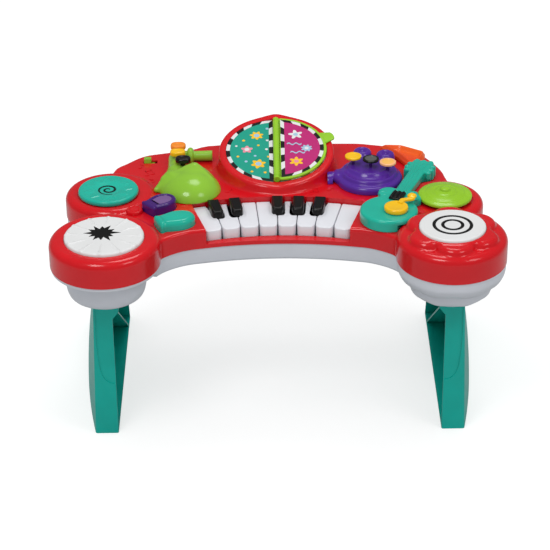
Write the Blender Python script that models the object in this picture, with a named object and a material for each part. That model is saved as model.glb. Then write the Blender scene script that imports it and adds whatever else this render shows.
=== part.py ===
"""Musical activity table for small children: a red top casing with drum pads, a fan of piano keys,
a saxophone, a horn, a guitar and a round page book, on a grey bottom casing and two teal legs.
Metres, +Z up, floor at z = 0, the child sits at -Y. The origin is the bottom centre of the whole."""
import math

import bmesh
import bpy
from mathutils import Matrix, Vector

MM = 0.001

# Heights
CUP_BOTTOM_Z = 189 * MM
BAND_Z = 208 * MM
SEAM_Z = 230 * MM
LEDGE_RISE = 5 * MM
LEDGE_REACH = 30 * MM
DECK_RISE = 24 * MM
FRONT_LOBE_RISE = 32 * MM
REAR_LOBE_RISE = 28 * MM
DECK_Z = SEAM_Z + DECK_RISE
LEDGE_Z = SEAM_Z + LEDGE_RISE
FRONT_LOBE_Z = SEAM_Z + FRONT_LOBE_RISE
REAR_LOBE_Z = SEAM_Z + REAR_LOBE_RISE

# Shells and clearances
WALL = 2.5 * MM
GAP = 0.3 * MM
SLIDE_GAP = 0.5 * MM
OVERRUN = 3 * MM
CASING_STEP = 1 * MM
EDGE_ROUND = 4 * MM
LOBE_ROUND = 9 * MM
DECK_UNDERSIDE = DECK_Z - WALL

# Plan of the casing
LOBE_X = 200 * MM
FRONT_LOBE_Y = -108 * MM
FRONT_LOBE_RADIUS = 64 * MM
LEFT_REAR_X = -200 * MM
LEFT_REAR_Y = 15 * MM
LEFT_REAR_RADIUS = 54 * MM
RIGHT_REAR_X = 195 * MM
RIGHT_REAR_Y = -12 * MM
RIGHT_REAR_RADIUS = 50 * MM
BODY_HALF_WIDTH = 205 * MM
BODY_BACK_Y = 150 * MM
FRONT_ARC_RADIUS = 420 * MM
FRONT_ARC_Y = -70 * MM
FRONT_ARC_HALF_WIDTH = 105 * MM
FRONT_FLARE_SHARES = ((1.16, 0.85), (1.29, 0.955), (1.38, 1.09), (1.45, 1.20))
REAR_OUTLINE_SHARES = (
    (1.0, 0.02), (1.0, 0.36), (0.96, 0.55), (0.88, 0.75), (0.75, 0.88), (0.58, 0.955), (0.40, 0.985),
    (-0.33, 0.985), (-0.52, 0.90), (-0.67, 0.845), (-0.80, 0.79), (-0.90, 0.66), (-0.98, 0.50),
    (-1.0, 0.02))

# Round book on its tilted ring
BOOK_Y = 82 * MM
BOOK_PLANE_Z = 277 * MM
BOOK_TILT = math.radians(11)
BOOK_RADIUS = 61.5 * MM
RING_RADIUS = 70.5 * MM
RING_ROUND = 3 * MM
CARD_THICKNESS = 3 * MM
PAGE_THICKNESS = 3 * MM
PAGE_CARD_THICKNESS = 1.2 * MM
SPINE_RADIUS = 3.9 * MM
SPINE_PIN_RADIUS = 1.5 * MM
LUG_LENGTH = 4 * MM
LUG_GAP = 0.4 * MM
FRAME_BORDER = 3.5 * MM
TAB_REACH = 15 * MM
TAB_WIDTH = 20 * MM
TAB_ANGLE = math.radians(20)
BOOK_FRONT_SETBACK = 1.2 * MM

# Keys, laid out as a fan
KEY_COUNT = 8
KEY_PITCH = math.radians(4.0)
FAN_RADIUS = 340 * MM
KEY_LENGTH = 61 * MM
KEYBOARD_Y = -27.5 * MM
KEY_TOP_DROP = 6 * MM
KEY_HEIGHT = 16 * MM
KEY_GAP = 0.8 * MM
KEY_EDGE = 1.2 * MM
KEY_CORNER = 3.5 * MM
KEY_WALL = 2 * MM
TAIL_LENGTH = 9 * MM
TAIL_WIDTH = 12 * MM
TAIL_HEIGHT = 7 * MM
TAIL_RISE = 4.5 * MM
KEY_DIP = 3 * MM
BLACK_BOUNDARIES = (1, 2, 4, 5, 6)
BLACK_WIDTH = 15 * MM
BLACK_LENGTH = 34 * MM
BLACK_NOSE = 6 * MM
BLACK_NOSE_WIDTH = 8 * MM
BLACK_PROUD = 8.5 * MM
BLACK_EDGE = 2.2 * MM
BLACK_TAIL_WIDTH = 7 * MM
RAIL_WALL = 2 * MM
RAIL_HEIGHT = 9 * MM
FAN_Y = KEYBOARD_Y - FAN_RADIUS
KEY_FRONT = FAN_RADIUS - KEY_LENGTH / 2
KEY_REAR = FAN_RADIUS + KEY_LENGTH / 2
KEY_TOP_Z = DECK_Z - KEY_TOP_DROP
KEY_BOTTOM_Z = KEY_TOP_Z - KEY_HEIGHT
TAIL_BOTTOM_Z = KEY_BOTTOM_Z + TAIL_RISE
KEYBOARD_HALF_ANGLE = KEY_COUNT / 2 * KEY_PITCH

# Drum pads, cymbal and spinning disc
LEFT_PAD_RADIUS = 46 * MM
LEFT_PAD_PROUD = 3.5 * MM
RIGHT_PAD_Y = -108 * MM
RIGHT_PAD_RADIUS = 38.5 * MM
RIGHT_PAD_PROUD = 3 * MM
RIGHT_BEZEL_RISE = 8 * MM
RIGHT_BEZEL_WIDTH = 5 * MM
PAD_WALL = 2.2 * MM
PAD_ROUND = 2.5 * MM
FLANGE_WIDTH = 2 * MM
FLANGE_THICKNESS = 2 * MM
BUMP_COUNT = 8
BUMP_RADIUS = 15 * MM
BUMP_DROP = 3.5 * MM
DISC_X = -202 * MM
DISC_Y = 10 * MM
DISC_RADIUS = 36 * MM
DISC_THICKNESS = 6 * MM
DISC_ROUND = 2 * MM
DISC_DISH_RADIUS = 13 * MM
DISC_DISH_DEPTH = 1.5 * MM
CYMBAL_X = 199 * MM
CYMBAL_Y = -15 * MM
CYMBAL_RADIUS = 32 * MM
CYMBAL_EDGE = 3.2 * MM
CYMBAL_CROWN = 6 * MM
CYMBAL_KNOB_RADIUS = 6 * MM
CYMBAL_KNOB_HEIGHT = 3 * MM
CYMBAL_TRAVEL = 2.5 * MM
STEM_RADIUS = 4 * MM
STEM_FLANGE_RADIUS = 7 * MM
STEM_FLANGE_THICKNESS = 1.6 * MM
RETAINER_RADIUS = 7 * MM
RETAINER_THICKNESS = 2 * MM
RETAINER_SHAFT_RADIUS = 1.8 * MM

# Two maraca buttons
MARACA_PROUD = 8 * MM
MARACA_ROUND = 3 * MM
MARACA_OUTLINE_SHARES = (
    (-0.50, -0.31), (-0.36, -0.33), (-0.16, -0.45), (0.08, -0.50), (0.30, -0.42), (0.45, -0.24),
    (0.50, 0.0), (0.45, 0.24), (0.30, 0.42), (0.08, 0.50), (-0.16, 0.45), (-0.36, 0.33), (-0.50, 0.31))
PURPLE_X = -138 * MM
PURPLE_Y = -23 * MM
PURPLE_LENGTH = 39 * MM
PURPLE_WIDTH = 29 * MM
PURPLE_TURN = math.radians(40)
TEAL_X = -119 * MM
TEAL_Y = -64 * MM
TEAL_LENGTH = 46 * MM
TEAL_WIDTH = 32 * MM
TEAL_TURN = math.radians(22)

# Saxophone
BELL_X = -105 * MM
BELL_Y = 24 * MM
BELL_HALF_WIDTH = 38 * MM
BELL_HALF_DEPTH = 39 * MM
BELL_HEIGHT = 28 * MM
TIP_X = -148 * MM
TIP_Y = 22 * MM
TIP_RADIUS = 8 * MM
TIP_HEIGHT = 9 * MM
NECK_X = -121 * MM
NECK_FRONT_Y = 44 * MM
NECK_BACK_Y = 112 * MM
NECK_WIDTH = 24 * MM
NECK_HEIGHT = 13 * MM
PIPE_RADIUS = 6.5 * MM
PIPE_Z_RISE = 6.5 * MM
PIPE_END_X = -79 * MM
COLLAR_X = -106 * MM
COLLAR_RADIUS = 10.5 * MM
COLLAR_LENGTH = 9 * MM
SAX_KEY_STEM_RADIUS = 3 * MM
SAX_KEY_TRAVEL = 2 * MM
SAX_KEY_THICKNESS = 6 * MM
SAX_KEY_ROUND = 2 * MM
SAX_KEYS = (
    ("sax_orange_key", "orange plastic", -121 * MM, 106 * MM, 19 * MM, 15 * MM),
    ("sax_yellow_key", "yellow plastic", -121 * MM, 88 * MM, 19 * MM, 14 * MM),
    ("sax_black_key", "black plastic", -114 * MM, 69 * MM, 19 * MM, 15 * MM))

# Horn
HORN_X = 112 * MM
HORN_Y = 42 * MM
HORN_RADIUS = 40 * MM
HORN_HEIGHT = 12 * MM
HORN_ROUND = 5 * MM
HORN_STEP_RADIUS = 27 * MM
HORN_STEP_Y = 10 * MM
HORN_STEP_RISE = 4 * MM
FLANGE_X = 68 * MM
FLANGE_Y = 45 * MM
FLANGE_LENGTH = 14 * MM
FLANGE_SPREAD = 30 * MM
LOOP_RADIUS = 12 * MM
LOOP_HEIGHT = 15 * MM
LOOPS = ((106 * MM, 96 * MM), (134 * MM, 88 * MM))
HORN_BELL_HEIGHT = 9 * MM
HORN_BELL_ROUND = 2.5 * MM
HORN_BELL_OUTLINE_SHARES = ((0.735, 0.62), (0.81, 0.42), (0.89, 0.60), (0.90, 0.69), (0.76, 0.82),
                            (0.63, 0.83))
HORN_KEY_RADIUS = 10 * MM
HORN_KEY_THICKNESS = 3 * MM
HORN_KEY_ROUND = 1 * MM
HORN_KEY_RISE = 24 * MM
HORN_KEYS = (
    ("horn_yellow_key", "yellow plastic", 93 * MM, 57 * MM),
    ("horn_black_key", "black plastic", 114 * MM, 49 * MM),
    ("horn_peach_key", "peach plastic", 134 * MM, 40 * MM))

# Guitar
GUITAR_X = 130 * MM
GUITAR_Y = -57 * MM
GUITAR_TURN = math.radians(68)
GUITAR_HEIGHT = 14 * MM
GUITAR_ROUND = 3.5 * MM
LOWER_BOUT_RADIUS = 34 * MM
UPPER_BOUT_RADIUS = 13 * MM
UPPER_BOUT_ALONG = 41 * MM
UPPER_BOUT_ACROSS = 14 * MM
WAIST_WIDTH = 42 * MM
GUITAR_NECK_START = 45 * MM
GUITAR_NECK_END = 104 * MM
GUITAR_NECK_WIDTH = 18 * MM
HEAD_LENGTH = 30 * MM
HEAD_WIDTH = 30 * MM
HEAD_SHOULDER = 9 * MM
BRIDGE_ALONG = 31 * MM
BRIDGE_LENGTH = 20 * MM
BRIDGE_WIDTH = 16 * MM
BRIDGE_HEIGHT = 4 * MM
BRIDGE_EDGE = 1 * MM
STRUMMER_X = 138 * MM
STRUMMER_Y = -62 * MM
STRUMMER_RADIUS = 14 * MM
STRUMMER_THICKNESS = 6 * MM
STRUMMER_ROUND = 1.5 * MM
STRUMMER_REACH = 34 * MM
STRUMMER_ARM_WIDTH = 7 * MM
STRUMMER_BALL_RADIUS = 5.5 * MM
STRUMMER_TURN = math.radians(50)
STRUMMER_PIN_RADIUS = 2.5 * MM
STRUMMER_PIN_DEPTH = 6 * MM

# Mode switch at the rear left
SLIDER_X = -159 * MM
SLIDER_Y = 100 * MM
SLIDER_TRAVEL = 7 * MM
SLIDER_LENGTH = 9 * MM
SLIDER_WIDTH = 7 * MM
SLIDER_PROUD = 6 * MM
SLIDER_PLATE_THICKNESS = 1.6 * MM
SLIDER_PLATE_MARGIN = 4 * MM

# Bottom casing, its cups and posts
CUP_RADIUS = 46 * MM
BOWL_RADIUS = 58 * MM
STEP_DROP = 15 * MM
CUP_ROUND = 4 * MM
POST_RADIUS = 4.5 * MM
POST_BORE = 1.8 * MM
SCREW_RADIUS = 1.5 * MM
SCREW_HEAD_RADIUS = 3 * MM
SCREW_HEAD_HEIGHT = 2 * MM
SCREW_SHAFT = 16 * MM
SCREW_RECESS_RADIUS = 3.4 * MM
SCREW_SEAT_DROP = 6 * MM
POST_SHARES = ((-0.834, -0.253), (0.732, -0.48), (-0.732, 0.4), (0.81, 0.48), (-0.293, 0.787), (0.293, 0.787))
POST_PLACES = tuple((a * BODY_HALF_WIDTH, b * BODY_BACK_Y) for a, b in POST_SHARES)

# Battery bay, speaker and boards
BATTERY_RADIUS = 7.2 * MM
BATTERY_LENGTH = 50 * MM
BATTERY_SPACING = 15.6 * MM
BATTERY_NUB_RADIUS = 2.7 * MM
BATTERY_NUB_LENGTH = 1.2 * MM
BAY_WIDTH = 52 * MM
BAY_LENGTH = 56 * MM
BAY_Y = 62 * MM
BAY_WALL = 2 * MM
BAY_HEIGHT = 16 * MM
DOOR_LIP = 2 * MM
DOOR_THICKNESS = 2.2 * MM
DOOR_EAR_WIDTH = 12 * MM
DOOR_EAR_LENGTH = 10 * MM
SPEAKER_X = -100 * MM
SPEAKER_Y = 45 * MM
SPEAKER_RADIUS = 25 * MM
SPEAKER_HEIGHT = 12 * MM
SPEAKER_MAGNET_RADIUS = 13 * MM
SPEAKER_MAGNET_HEIGHT = 7 * MM
GRILLE_SLOT_LENGTH = 30 * MM
GRILLE_SLOT_WIDTH = 2.5 * MM
GRILLE_SLOT_PITCH = 6 * MM
GRILLE_SLOTS = 5
BOARD_X = 112 * MM
BOARD_Y = 35 * MM
BOARD_WIDTH = 70 * MM
BOARD_LENGTH = 50 * MM
BOARD_THICKNESS = 1.6 * MM
BOARD_POST_HEIGHT = 8 * MM
CHIP_SIZE = 14 * MM
CHIP_HEIGHT = 2 * MM
KEY_BOARD_WIDTH = 20 * MM
KEY_BOARD_MARGIN = 6 * MM
RUBBER_WIDTH = 8 * MM
RUBBER_HEIGHT = 3.5 * MM

# Legs: deep boards, open towards the middle, with slanting ribs
LEG_INNER_X = 191.5 * MM
LEG_OUTER_X = 219 * MM
LEG_BULGE = 22 * MM
LEG_BULGE_HEIGHT = 150 * MM
LEG_BULGE_POWER = 2.5
LEG_OUTER_LEAN = 6 * MM
LEG_FRONT_Y = -120 * MM
LEG_BACK_Y = 154 * MM
LEG_TOP_BACK_Y = 62 * MM
LEG_WALL = 3 * MM
LEG_RIB = 2.4 * MM
LEG_RIB_PITCH = 52 * MM
LEG_RIB_COUNT = 5
LEG_RIB_SLOPE = math.radians(36)
COLLAR_DROP = 22 * MM
COLLAR_INWARD = 7.5 * MM
COLLAR_BACK_Y = -72 * MM
TENON_HEIGHT = 20 * MM
TENON_INSET = 2 * MM
PANEL_DEPTH = 1 * MM
PANEL_MARGIN = 4 * MM
PANEL_LOW_Z = 72 * MM
PANEL_HIGH_Z = 180 * MM
LEG_NOTCH_Y = FRONT_LOBE_Y + BOWL_RADIUS + KEY_GAP

ROUND_SIDES = 22
SMALL_SIDES = 10
POST_SIDES = 8
LARGE_SIDES = 28

LEVEL_FACED = ("top_casing", "bottom_casing", "guitar_body", "sax_body", "horn_body", "flip_page")
PLAN_SHIFT = -((FRONT_LOBE_Y - FRONT_LOBE_RADIUS) + LEG_BACK_Y) / 2

FINISHES = {
    "red plastic": ((0.78, 0.012, 0.018), 0.28),
    "grey plastic": ((0.39, 0.42, 0.47), 0.40),
    "leg plastic": ((0.0, 0.31, 0.27), 0.40),
    "teal plastic": ((0.02, 0.50, 0.38), 0.30),
    "lime plastic": ((0.30, 0.58, 0.04), 0.30),
    "purple plastic": ((0.09, 0.026, 0.30), 0.32),
    "yellow plastic": ((0.96, 0.57, 0.013), 0.30),
    "orange plastic": ((0.95, 0.30, 0.03), 0.32),
    "peach plastic": ((0.98, 0.60, 0.22), 0.32),
    "black plastic": ((0.010, 0.010, 0.010), 0.25),
    "white plastic": ((0.79, 0.79, 0.82), 0.35),
    "printed card": ((0.0, 0.35, 0.24), 0.45),
    "magenta card": ((0.50, 0.012, 0.16), 0.45),
    "circuit board": ((0.02, 0.20, 0.07), 0.50),
    "rubber": ((0.10, 0.10, 0.11), 0.80),
    "steel": ((0.60, 0.60, 0.62), 0.35),
    "battery sleeve": ((0.05, 0.05, 0.06), 0.35),
}

for stale in list(bpy.data.objects):
    bpy.data.objects.remove(stale, do_unlink=True)

FRAME = bpy.data.objects.new("table_frame", None)
FRAME.location = (0, PLAN_SHIFT, 0)
bpy.context.scene.collection.objects.link(FRAME)


def material(name):
    """One Principled material for each finish, made on its first use."""
    found = bpy.data.materials.get(name)
    if found:
        return found
    colour, roughness = FINISHES[name]
    made = bpy.data.materials.new(name)
    made.use_nodes = True
    shader = made.node_tree.nodes["Principled BSDF"]
    shader.inputs["Base Color"].default_value = (*colour, 1)
    shader.inputs["Roughness"].default_value = roughness
    shader.inputs["Metallic"].default_value = float(name == "steel")
    return made


def piece(name, bm, finish, origin=(0, 0, 0), parent=None):
    """A named object whose mesh lies round its own origin."""
    bmesh.ops.translate(bm, verts=bm.verts, vec=-Vector(origin))
    mesh = bpy.data.meshes.new(name)
    bm.to_mesh(mesh)
    bm.free()
    made = bpy.data.objects.new(name, mesh)
    bpy.context.scene.collection.objects.link(made)
    made.parent = parent or FRAME
    made.location = origin
    if finish:
        mesh.materials.append(material(finish))
        mesh.shade_smooth()
        mesh.set_sharp_from_angle(angle=math.radians(35))
    return made


def tool(name, *shapes, parent=None):
    """A hidden solid, made of shapes that don't touch, to cut or add with."""
    whole = bmesh.new()
    for shape in shapes:
        spare = bpy.data.meshes.new("spare")
        shape.to_mesh(spare)
        shape.free()
        whole.from_mesh(spare)
        bpy.data.meshes.remove(spare)
    made = piece(name, whole, None, parent=parent)
    made.hide_render = True
    made.display_type = "WIRE"
    return made


def combine(target, operand, operation):
    """Adds or takes away the operand's solid. Some pieces have level faces that meet, which only
    the manifold solver joins cleanly."""
    change = target.modifiers.new(operand.name, "BOOLEAN")
    change.operation = operation
    change.object = operand
    change.solver = "MANIFOLD" if target.name in LEVEL_FACED else "EXACT"


def add(target, name, *shapes):
    combine(target, tool(name, *shapes, parent=target.parent), "UNION")


def cut(target, name, *shapes):
    combine(target, tool(name, *shapes, parent=target.parent), "DIFFERENCE")


def prism(outline, low, high, round_top=0.0, round_bottom=0.0, steps=2):
    """An upright block over an outline, its top or bottom edge rounded."""
    area = sum(a[0] * b[1] - b[0] * a[1] for a, b in zip(outline, outline[1:] + outline[:1]))
    if area < 0:
        outline = outline[::-1]
    bm = bmesh.new()
    bottom = [bm.verts.new((x, y, low)) for x, y in outline]
    top = [bm.verts.new((x, y, high)) for x, y in outline]
    bm.faces.new(bottom[::-1])
    bm.faces.new(top)
    for index, vert in enumerate(bottom):
        after = (index + 1) % len(bottom)
        bm.faces.new((vert, bottom[after], top[after], top[index]))
    for verts, width in ((top, round_top), (bottom, round_bottom)):
        if width:
            level = set(verts)
            rim = [edge for edge in bm.edges if level.issuperset(edge.verts)]
            bmesh.ops.bevel(bm, geom=rim, offset=width, segments=steps, profile=0.5, affect="EDGES",
                            clamp_overlap=True)
    return bm


def lathe(profile, sides, x=0.0, y=0.0):
    """A solid turned about an upright axis from (radius, height) points, from its top to its bottom."""
    bm = bmesh.new()
    rings = []
    for radius, height in profile:
        if radius == 0:
            rings.append([bm.verts.new((x, y, height))])
            continue
        turn = [2 * math.pi * step / sides for step in range(sides)]
        rings.append([bm.verts.new((x + radius * math.cos(a), y + radius * math.sin(a),
                                    height)) for a in turn])
    for upper, lower in zip(rings, rings[1:]):
        for step in range(sides):
            after = (step + 1) % sides
            corners = [upper[step % len(upper)], lower[step % len(lower)],
                       lower[after % len(lower)], upper[after % len(upper)]]
            bm.faces.new(list(dict.fromkeys(corners)))
    return bm


def rounded_rim(radius, top, width, steps=2):
    """Profile points of a rounded upper edge, from the flat top to the side."""
    turns = [math.pi / 2 * step / steps for step in range(steps + 1)]
    return [(radius - width + width * math.sin(a), top - width + width * math.cos(a)) for a in turns]


def drum(radius, low, high, x, y, sides=ROUND_SIDES, width=0.0, steps=2):
    """A round block with a rounded upper edge."""
    rim = rounded_rim(radius, high, width, steps) if width else [(radius, high)]
    return lathe([(0, high), *rim, (radius, low), (0, low)], sides, x, y)


def box(x0, x1, y0, y1, low, high, round_top=0.0):
    return prism([(x0, y0), (x1, y0), (x1, y1), (x0, y1)], low, high, round_top)


def arc(x, y, radius, start, end, steps):
    """Points on an arc, angles from +X."""
    turns = [start + (end - start) * step / steps for step in range(steps + 1)]
    return [(x + radius * math.cos(a), y + radius * math.sin(a)) for a in turns]


def fan(radius, angle):
    """The plan point at a distance from the fan's centre and an angle to the right of +Y."""
    return radius * math.sin(angle), FAN_Y + radius * math.cos(angle)


def placed(outline, x, y, turn):
    """An outline turned and then moved."""
    c, s = math.cos(turn), math.sin(turn)
    return [(x + c * u - s * v, y + s * u + c * v) for u, v in outline]


def grown(outline, width):
    """An anticlockwise outline moved outwards by a width, or inwards if it is negative."""
    result = []
    for index, point in enumerate(outline):
        here = Vector(point)
        before = (here - Vector(outline[index - 1])).normalized()
        after = (Vector(outline[(index + 1) % len(outline)]) - here).normalized()
        outward = Vector((before.y + after.y, -before.x - after.x)).normalized()
        stretch = max(outward.dot(Vector((before.y, -before.x))), 0.5)
        result.append(tuple(here + outward * (width / stretch)))
    return result


def corner_rounded(outline, radius, steps=3):
    """An outline whose corners are cut by arcs of about the given reach."""
    result = []
    for index, point in enumerate(outline):
        here = Vector(point)
        back = Vector(outline[index - 1]) - here
        ahead = Vector(outline[(index + 1) % len(outline)]) - here
        reach = min(radius, back.length / 2.5, ahead.length / 2.5)
        start, end = here + back.normalized() * reach, here + ahead.normalized() * reach
        for step in range(steps + 1):
            t = step / steps
            result.append(tuple(start * (1 - t) ** 2 + here * (2 * t * (1 - t)) + end * t ** 2))
    return result


def arch_outline():
    """The plan of the casing's middle: a hollow front arc and the humped rear."""
    centre_y = FRONT_ARC_Y - FRONT_ARC_RADIUS
    half = math.asin(FRONT_ARC_HALF_WIDTH / FRONT_ARC_RADIUS)
    front = arc(0, centre_y, FRONT_ARC_RADIUS, math.pi / 2 + half, math.pi / 2 - half, 12)
    flare = [(a * FRONT_ARC_HALF_WIDTH, b * FRONT_LOBE_Y) for a, b in FRONT_FLARE_SHARES]
    rear = [(a * BODY_HALF_WIDTH, b * BODY_BACK_Y) for a, b in REAR_OUTLINE_SHARES]
    return [(-x, y) for x, y in flare[::-1]] + front + flare + rear


def lobes(inset, drop, low, sides=ROUND_SIDES):
    """The four round lobes, each made smaller and lower by a wall."""
    round_width = LOBE_ROUND - inset
    places = ((-LOBE_X, FRONT_LOBE_Y, FRONT_LOBE_RADIUS, FRONT_LOBE_Z),
              (LOBE_X, FRONT_LOBE_Y, FRONT_LOBE_RADIUS, FRONT_LOBE_Z),
              (LEFT_REAR_X, LEFT_REAR_Y, LEFT_REAR_RADIUS, REAR_LOBE_Z),
              (RIGHT_REAR_X, RIGHT_REAR_Y, RIGHT_REAR_RADIUS, REAR_LOBE_Z))
    steps = 1 if inset else 3
    return [drum(radius - inset, low, top - drop, x, y, sides, round_width, steps) for x, y, radius,
            top in places]


def book_ring(radius, low, lowered, width):
    """The ring's round block, its top sheared to the book's slope."""
    bm = drum(radius, low, BOOK_PLANE_Z - lowered, 0, BOOK_Y, LARGE_SIDES, width, 2)
    for vert in bm.verts:
        if vert.co.z > low + OVERRUN:
            vert.co.z += (vert.co.y - BOOK_Y) * math.tan(BOOK_TILT)
    return bm


def key_fan(front, rear, half_angle, margin, low, high, steps=12):
    """A sector of the keyboard's fan, widened at its sides by a margin."""
    inner = half_angle + margin / front
    outer = half_angle + margin / rear
    near = [fan(front, -inner + 2 * inner * step / steps) for step in range(steps + 1)]
    far = [fan(rear, outer - 2 * outer * step / steps) for step in range(steps + 1)]
    return prism(near + far, low, high)


def maraca_outline(x, y, turn, length, width):
    return placed([(a * length, b * width) for a, b in MARACA_OUTLINE_SHARES], x, y, turn)


def stem_bore(radius, x, y, low=DECK_UNDERSIDE - OVERRUN, high=DECK_Z + LOOP_HEIGHT + OVERRUN):
    return drum(radius + SLIDE_GAP, low, high, x, y, SMALL_SIDES)


def slider_slot(margin, low, high):
    half = SLIDER_LENGTH / 2 + margin
    deep = SLIDER_WIDTH / 2 + margin
    return box(SLIDER_X - half, SLIDER_X + half + SLIDER_TRAVEL, SLIDER_Y - deep, SLIDER_Y + deep, low,
               high)


RIGHT_BEZEL_Z = FRONT_LOBE_Z + RIGHT_BEZEL_RISE


def make_top_casing():
    """The red shell, with its lobes, ring and bumps, and every opening that a moving piece needs."""
    casing = piece("top_casing", prism(arch_outline(), SEAM_Z, DECK_Z, EDGE_ROUND), "red plastic")
    for index, shape in enumerate(lobes(0, 0, SEAM_Z)):
        add(casing, f"casing_lobe_{index}", shape)
    bezel = RIGHT_PAD_RADIUS + RIGHT_BEZEL_WIDTH
    for index in range(BUMP_COUNT):
        turn = 2 * math.pi * (index + 0.5) / BUMP_COUNT
        x = LOBE_X + (bezel - BUMP_RADIUS / 2) * math.cos(turn)
        y = RIGHT_PAD_Y + (bezel - BUMP_RADIUS / 2) * math.sin(turn)
        add(casing, f"clover_bump_{index}",
            drum(BUMP_RADIUS, FRONT_LOBE_Z - OVERRUN, RIGHT_BEZEL_Z - BUMP_DROP, x, y, SMALL_SIDES,
                 OVERRUN, 1))
    add(casing, "right_bezel",
        drum(bezel, FRONT_LOBE_Z - OVERRUN, RIGHT_BEZEL_Z, LOBE_X, RIGHT_PAD_Y, ROUND_SIDES, OVERRUN, 1))
    add(casing, "book_ring", book_ring(RING_RADIUS, DECK_UNDERSIDE, 0, RING_ROUND))

    below = SEAM_Z - OVERRUN
    cut(casing, "arch_hollow", prism(grown(arch_outline(), -WALL), below, DECK_UNDERSIDE))
    for index, shape in enumerate(lobes(WALL, WALL, below)):
        cut(casing, f"lobe_hollow_{index}", shape)
    cut(casing, "ring_hollow",
        book_ring(RING_RADIUS - WALL, DECK_UNDERSIDE - OVERRUN, CARD_THICKNESS + GAP + WALL, 0))

    wall_y = FRONT_ARC_Y - FRONT_ARC_RADIUS
    half = KEYBOARD_HALF_ANGLE + (KEY_GAP + WALL) / KEY_FRONT
    right_end, left_end = fan(KEY_FRONT, half), fan(KEY_FRONT, -half)
    reach = FRONT_ARC_RADIUS + WALL / 2
    near_half = math.asin(right_end[0] / reach)
    near = arc(0, wall_y, reach, math.pi / 2 + near_half, math.pi / 2 - near_half, 12)
    far = [fan(KEY_FRONT + WALL, half - 2 * half * step / 12) for step in range(13)]
    add(casing, "ledge_bar", prism(near + far, SEAM_Z, LEDGE_Z + OVERRUN))
    for side, name in ((-1, "left"), (1, "right")):
        inner = [fan(KEY_REAR + KEY_GAP, side * (KEYBOARD_HALF_ANGLE + KEY_GAP / 2 / KEY_REAR)),
                 fan(KEY_FRONT - WALL, side * (KEYBOARD_HALF_ANGLE + KEY_GAP / 2 / KEY_FRONT))]
        outer = [fan(KEY_FRONT - WALL, side * half), fan(KEY_REAR + KEY_GAP, side * half)]
        cheek = inner + outer
        add(casing, f"{name}_cheek", prism(cheek, SEAM_Z, DECK_Z - WALL / 2))
    cut(casing, "key_opening",
        key_fan(KEY_FRONT - KEY_GAP, KEY_REAR + KEY_GAP, KEYBOARD_HALF_ANGLE, KEY_GAP, below,
                DECK_Z + OVERRUN))
    cut(casing, "ledge_cut",
        key_fan(KEY_FRONT - LEDGE_REACH, KEY_FRONT + WALL, KEYBOARD_HALF_ANGLE, KEY_GAP,
                LEDGE_Z, DECK_Z + OVERRUN))

    above = FRONT_LOBE_Z + OVERRUN
    high = RIGHT_BEZEL_Z + OVERRUN
    left_hole = drum(LEFT_PAD_RADIUS + SLIDE_GAP, DECK_UNDERSIDE, above, -LOBE_X, FRONT_LOBE_Y)
    right_hole = drum(RIGHT_PAD_RADIUS + SLIDE_GAP, DECK_UNDERSIDE, high, LOBE_X, RIGHT_PAD_Y)
    disc_hole = drum(STEM_RADIUS + SLIDE_GAP, DECK_UNDERSIDE, above, DISC_X, DISC_Y, SMALL_SIDES)
    cymbal_hole = drum(STEM_RADIUS + SLIDE_GAP, DECK_UNDERSIDE, above, CYMBAL_X, CYMBAL_Y, SMALL_SIDES)
    cut(casing, "round_holes", left_hole, right_hole, disc_hole, cymbal_hole)
    purple = grown(maraca_outline(PURPLE_X, PURPLE_Y, PURPLE_TURN, PURPLE_LENGTH, PURPLE_WIDTH), SLIDE_GAP)
    teal = grown(maraca_outline(TEAL_X, TEAL_Y, TEAL_TURN, TEAL_LENGTH, TEAL_WIDTH), SLIDE_GAP)
    low = DECK_UNDERSIDE - OVERRUN
    bores = [stem_bore(SAX_KEY_STEM_RADIUS, x, y) for _, _, x, y, _, _ in SAX_KEYS]
    bores += [stem_bore(SAX_KEY_STEM_RADIUS, x, y) for _, _, x, y in HORN_KEYS]
    cut(casing, "button_holes", prism(purple, low, above), prism(teal, low, above),
        slider_slot(SLIDE_GAP, low, above), *bores)
    book = drum(BOOK_RADIUS + SLIDE_GAP, -(CARD_THICKNESS + GAP), WALL * 2, 0, 0, LARGE_SIDES)
    bmesh.ops.transform(book, matrix=book_matrix(), verts=book.verts)
    cut(casing, "book_recess", book)
    bosses = [drum(POST_RADIUS, SEAM_Z + GAP, DECK_UNDERSIDE + WALL / 2, x, y, POST_SIDES)
              for x, y in POST_PLACES]
    add(casing, "casing_bosses", *bosses)
    pilots = [drum(POST_BORE, SEAM_Z - GAP, SEAM_Z + SCREW_SHAFT, x, y, POST_SIDES) for x, y in POST_PLACES]
    cut(casing, "boss_bores", *pilots)


def book_matrix():
    """From the book's own frame, whose ground is the ring's tilted top, to the plan frame."""
    return Matrix.Translation((0, BOOK_Y, BOOK_PLANE_Z)) @ Matrix.Rotation(BOOK_TILT, 4, "X")


def half_disc(side, radius, inner, low, high, steps=20):
    """Half a round card, its straight edge a given way from the middle."""
    start = math.asin(inner / radius)
    rim = arc(0, 0, radius, -math.pi / 2 + start, math.pi / 2 - start, steps)
    outline = rim if side > 0 else [(-x, y) for x, y in rim[::-1]]
    return prism(outline, low, high)


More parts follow.
